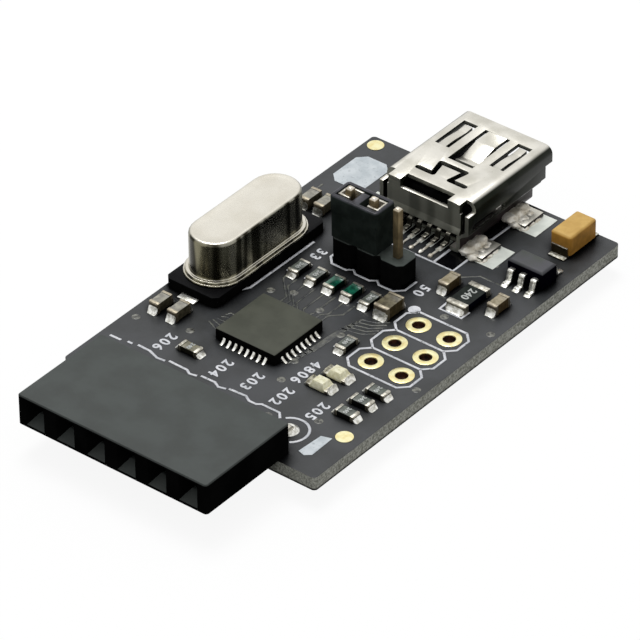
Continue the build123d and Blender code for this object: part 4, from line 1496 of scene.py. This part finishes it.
@dataclass
class ChipDress:
    """The two-terminal chips and their solder."""

    end_length: float = 0.26
    fuse_end: float = 0.5
    edge_radius: float = 0.035
    solder_reach: float = 0.3
    solder_share: float = 0.75
    solder_width_share: float = 0.96
    solder_overlap: float = 0.02
    mark_size: float = 0.42
    fuse_mark_size: float = 0.8
    mark_depth: float = 0.012

    def chip(self, node: str, look: Look, end: Look) -> None:
        """Build one chip with tinned ends.

        Args:
            node: Its CAD node.
            look: The finish between its ends.
            end: The finish of its ends.
        """
        mesh = softened(node, self.edge_radius, 2)
        low, high = board_frame.box(node)
        axis = long_axis(low, high)
        middle = (low + high) / 2
        length = self.fuse_end if node == "fuse" else self.end_length
        limit = (high[axis] - low[axis]) / 2 - length
        shape = bmesh.new()
        shape.from_mesh(mesh)
        normal = Vector((1 - axis, axis, 0))
        for side in (-1, 1):
            place = board_frame.point(*(middle + normal * side * limit))
            parts = shape.verts[:] + shape.edges[:] + shape.faces[:]
            bmesh.ops.bisect_plane(shape, geom=parts, plane_co=place, plane_no=normal, dist=CUT_TOLERANCE)
        shape.to_mesh(mesh)
        shape.free()
        for face in mesh.polygons:
            out = abs(board_frame.local(face.center)[axis] - middle[axis])
            face.material_index = 1 if out > limit else 0
        settle(f"{node}_chip", mesh, [look, end], [node])

    def solder(self) -> bpy.types.Mesh:
        """Build the fillets at every chip's ends.

        Returns:
            One mesh of all the fillets.
        """
        shape = bmesh.new()
        for family in Family:
            for node in family.nodes():
                low, high = board_frame.box(node)
                axis = long_axis(low, high)
                for side in (-1, 1):
                    outward = Vector((0, 0, 0))
                    outward[axis] = side
                    foot = Vector(((low.x + high.x) / 2, (low.y + high.y) / 2, 0.0))
                    foot[axis] += side * ((high[axis] - low[axis]) / 2 - self.solder_overlap)
                    width = self.solder_width_share * (high[1 - axis] - low[1 - axis])
                    rise = self.solder_share * (high.z - low.z)
                    solder_wedge(shape, foot, outward, width, self.solder_reach, rise)
        return shaded(to_mesh("chip_fillets", shape), angle=60.0)

    def marks(self) -> list[bpy.types.Mesh]:
        """Print plain numbers on the fuse and the resistors.

        Returns:
            The mesh of each number.
        """
        printer = BoardDress(label_weight=0.02, label_spacing=1.05)
        made = []
        for node in Family.FUSE.nodes() + Family.RESISTOR.nodes():
            low, high = board_frame.box(node)
            middle = (low + high) / 2
            size = self.fuse_mark_size if node == "fuse" else self.mark_size
            made.append(printer.text_mesh("240", middle.x, middle.y, size, high.z - self.mark_depth))
        return made

    def build(self) -> None:
        """Build every chip, the solder and the numbers."""
        special = {"capacitor_7": Look.BROWN_CERAMIC, "resistor_4": Look.TAN_RESISTOR}
        special |= {f"capacitor_{i}": Look.GREY_CERAMIC for i in range(1, 5)}
        for family in Family:
            _, look, end, slot = family.value
            for node in family.nodes():
                self.chip(node, special.get(node, look), end)
        settle("chip_fillets", self.solder(), [Look.TIN], ["chip_solder"])
        settle("chip_marks", joined("chip_marks", self.marks()), [Look.MARK])


# Studio


@dataclass
class Studio:
    """The floor, the sky, the lamp and the camera."""

    floor_size: float = 4.0
    floor_drop: float = 0.02
    floor_change: float = 1.02
    floor_patches_per_mm: float = 0.02
    floor_albedo: float = 0.11
    floor_glow: float = 0.905
    sky_light: float = 0.42
    lamp_size: float = 0.22
    lamp_power: float = 1.25
    lamp_place: tuple[float, float, float] = (-0.12, 0.08, 0.47)
    azimuth: float = 38.919
    elevation: float = 36.019
    roll: float = -0.536
    distance: float = 361.71
    lens: float = 309.19
    sensor: float = 36.0
    near_clip: float = 0.01
    aim: tuple[float, float, float] = (0.0764, 13.5799, 0.0)

    def seen(self, graph: Graph) -> Wire:
        """1 for rays from the camera, mirrors and glass, and 0 for the rest."""
        path = graph.node("ShaderNodeLightPath")
        views = [graph.out(path, f"Is {kind} Ray") for kind in ("Camera", "Glossy", "Transmission")]
        return views[0].larger(views[1]).larger(views[2])

    def build_floor(self) -> None:
        """Build the pale floor."""
        half = self.floor_size / 2
        mesh = bpy.data.meshes.new("floor")
        corners = [(-half, -half), (half, -half), (half, half), (-half, half)]
        mesh.from_pydata([(x, y, -self.floor_drop * MM) for x, y in corners], [], [(0, 1, 2, 3)])
        material = bpy.data.materials.new("pale_floor")
        graph = cleared(material)
        tones = [(level, level, level, 1.0) for level in (self.floor_albedo, self.floor_albedo * self.floor_change)]
        color = graph.mix(graph.noise(self.floor_patches_per_mm), *tones)
        matt = graph.out(graph.node("ShaderNodeBsdfDiffuse", {}, {"Color": color}))
        strength = self.seen(graph) * self.floor_glow
        glow = graph.out(graph.node("ShaderNodeEmission", {}, {"Strength": strength}))
        both = graph.out(graph.node("ShaderNodeAddShader", {}, {0: matt, 1: glow}))
        graph.node("ShaderNodeOutputMaterial", {}, {"Surface": both})
        mesh.materials.append(material)
        placed("floor", mesh)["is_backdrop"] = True

    def build_sky(self) -> None:
        """Build the plain white surroundings."""
        world = bpy.data.worlds.new("surroundings")
        graph = cleared(world)
        strength = self.seen(graph) * (PICTURE_BACKGROUND - self.sky_light) + self.sky_light
        glow = graph.node("ShaderNodeBackground", {}, {"Color": WHITE, "Strength": strength})
        graph.node("ShaderNodeOutputWorld", {}, {"Surface": graph.out(glow)})
        bpy.context.scene.world = world

    def build_lamp(self) -> None:
        """Hang the soft lamp that shines on the object."""
        light = bpy.data.lights.new("overhead", "AREA")
        light.size = self.lamp_size
        light.energy = self.lamp_power
        lamp = placed("overhead", light)
        lamp.location = self.lamp_place
        lamp.rotation_euler = Vector(self.lamp_place).to_track_quat("Z", "Y").to_euler()

    def build_camera(self) -> None:
        """Place the camera at the photograph's angle."""
        data = bpy.data.cameras.new("camera")
        data.lens = self.lens
        data.sensor_width = self.sensor
        data.clip_start = self.near_clip
        camera = placed("camera", data)
        turn, rise = math.radians(self.azimuth), math.radians(self.elevation)
        back = Vector((math.sin(turn) * math.cos(rise), -math.cos(turn) * math.cos(rise), math.sin(rise)))
        camera.location = board_frame.point(*self.aim) + back * self.distance * MM
        spin = Quaternion((0, 0, 1), math.radians(self.roll))
        camera.rotation_euler = (back.to_track_quat("Z", "Y") @ spin).to_euler()
        bpy.context.scene.camera = camera

    def build(self) -> None:
        """Build the studio."""
        self.build_floor()
        self.build_sky()
        self.build_lamp()
        self.build_camera()
        bpy.context.scene.view_settings.view_transform = "Standard"


def main() -> None:
    """Build the studio and every sub-assembly."""
    logging.basicConfig(level=logging.INFO)
    Studio().build()
    strips, domes = strip_tree(), dome_tree()
    BoardDress().build(strips, domes)
    for assembly in (SocketDress(), ConnectorDress(), CrystalDress(), SelectorDress(), PackageDress(), ChipDress()):
        assembly.build()
    boxes = {"cad": cad_box, "visual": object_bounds()}
    {name: [list(corner) for corner in box] for name, box in boxes.items()}


if __name__ == "__main__":
    main()
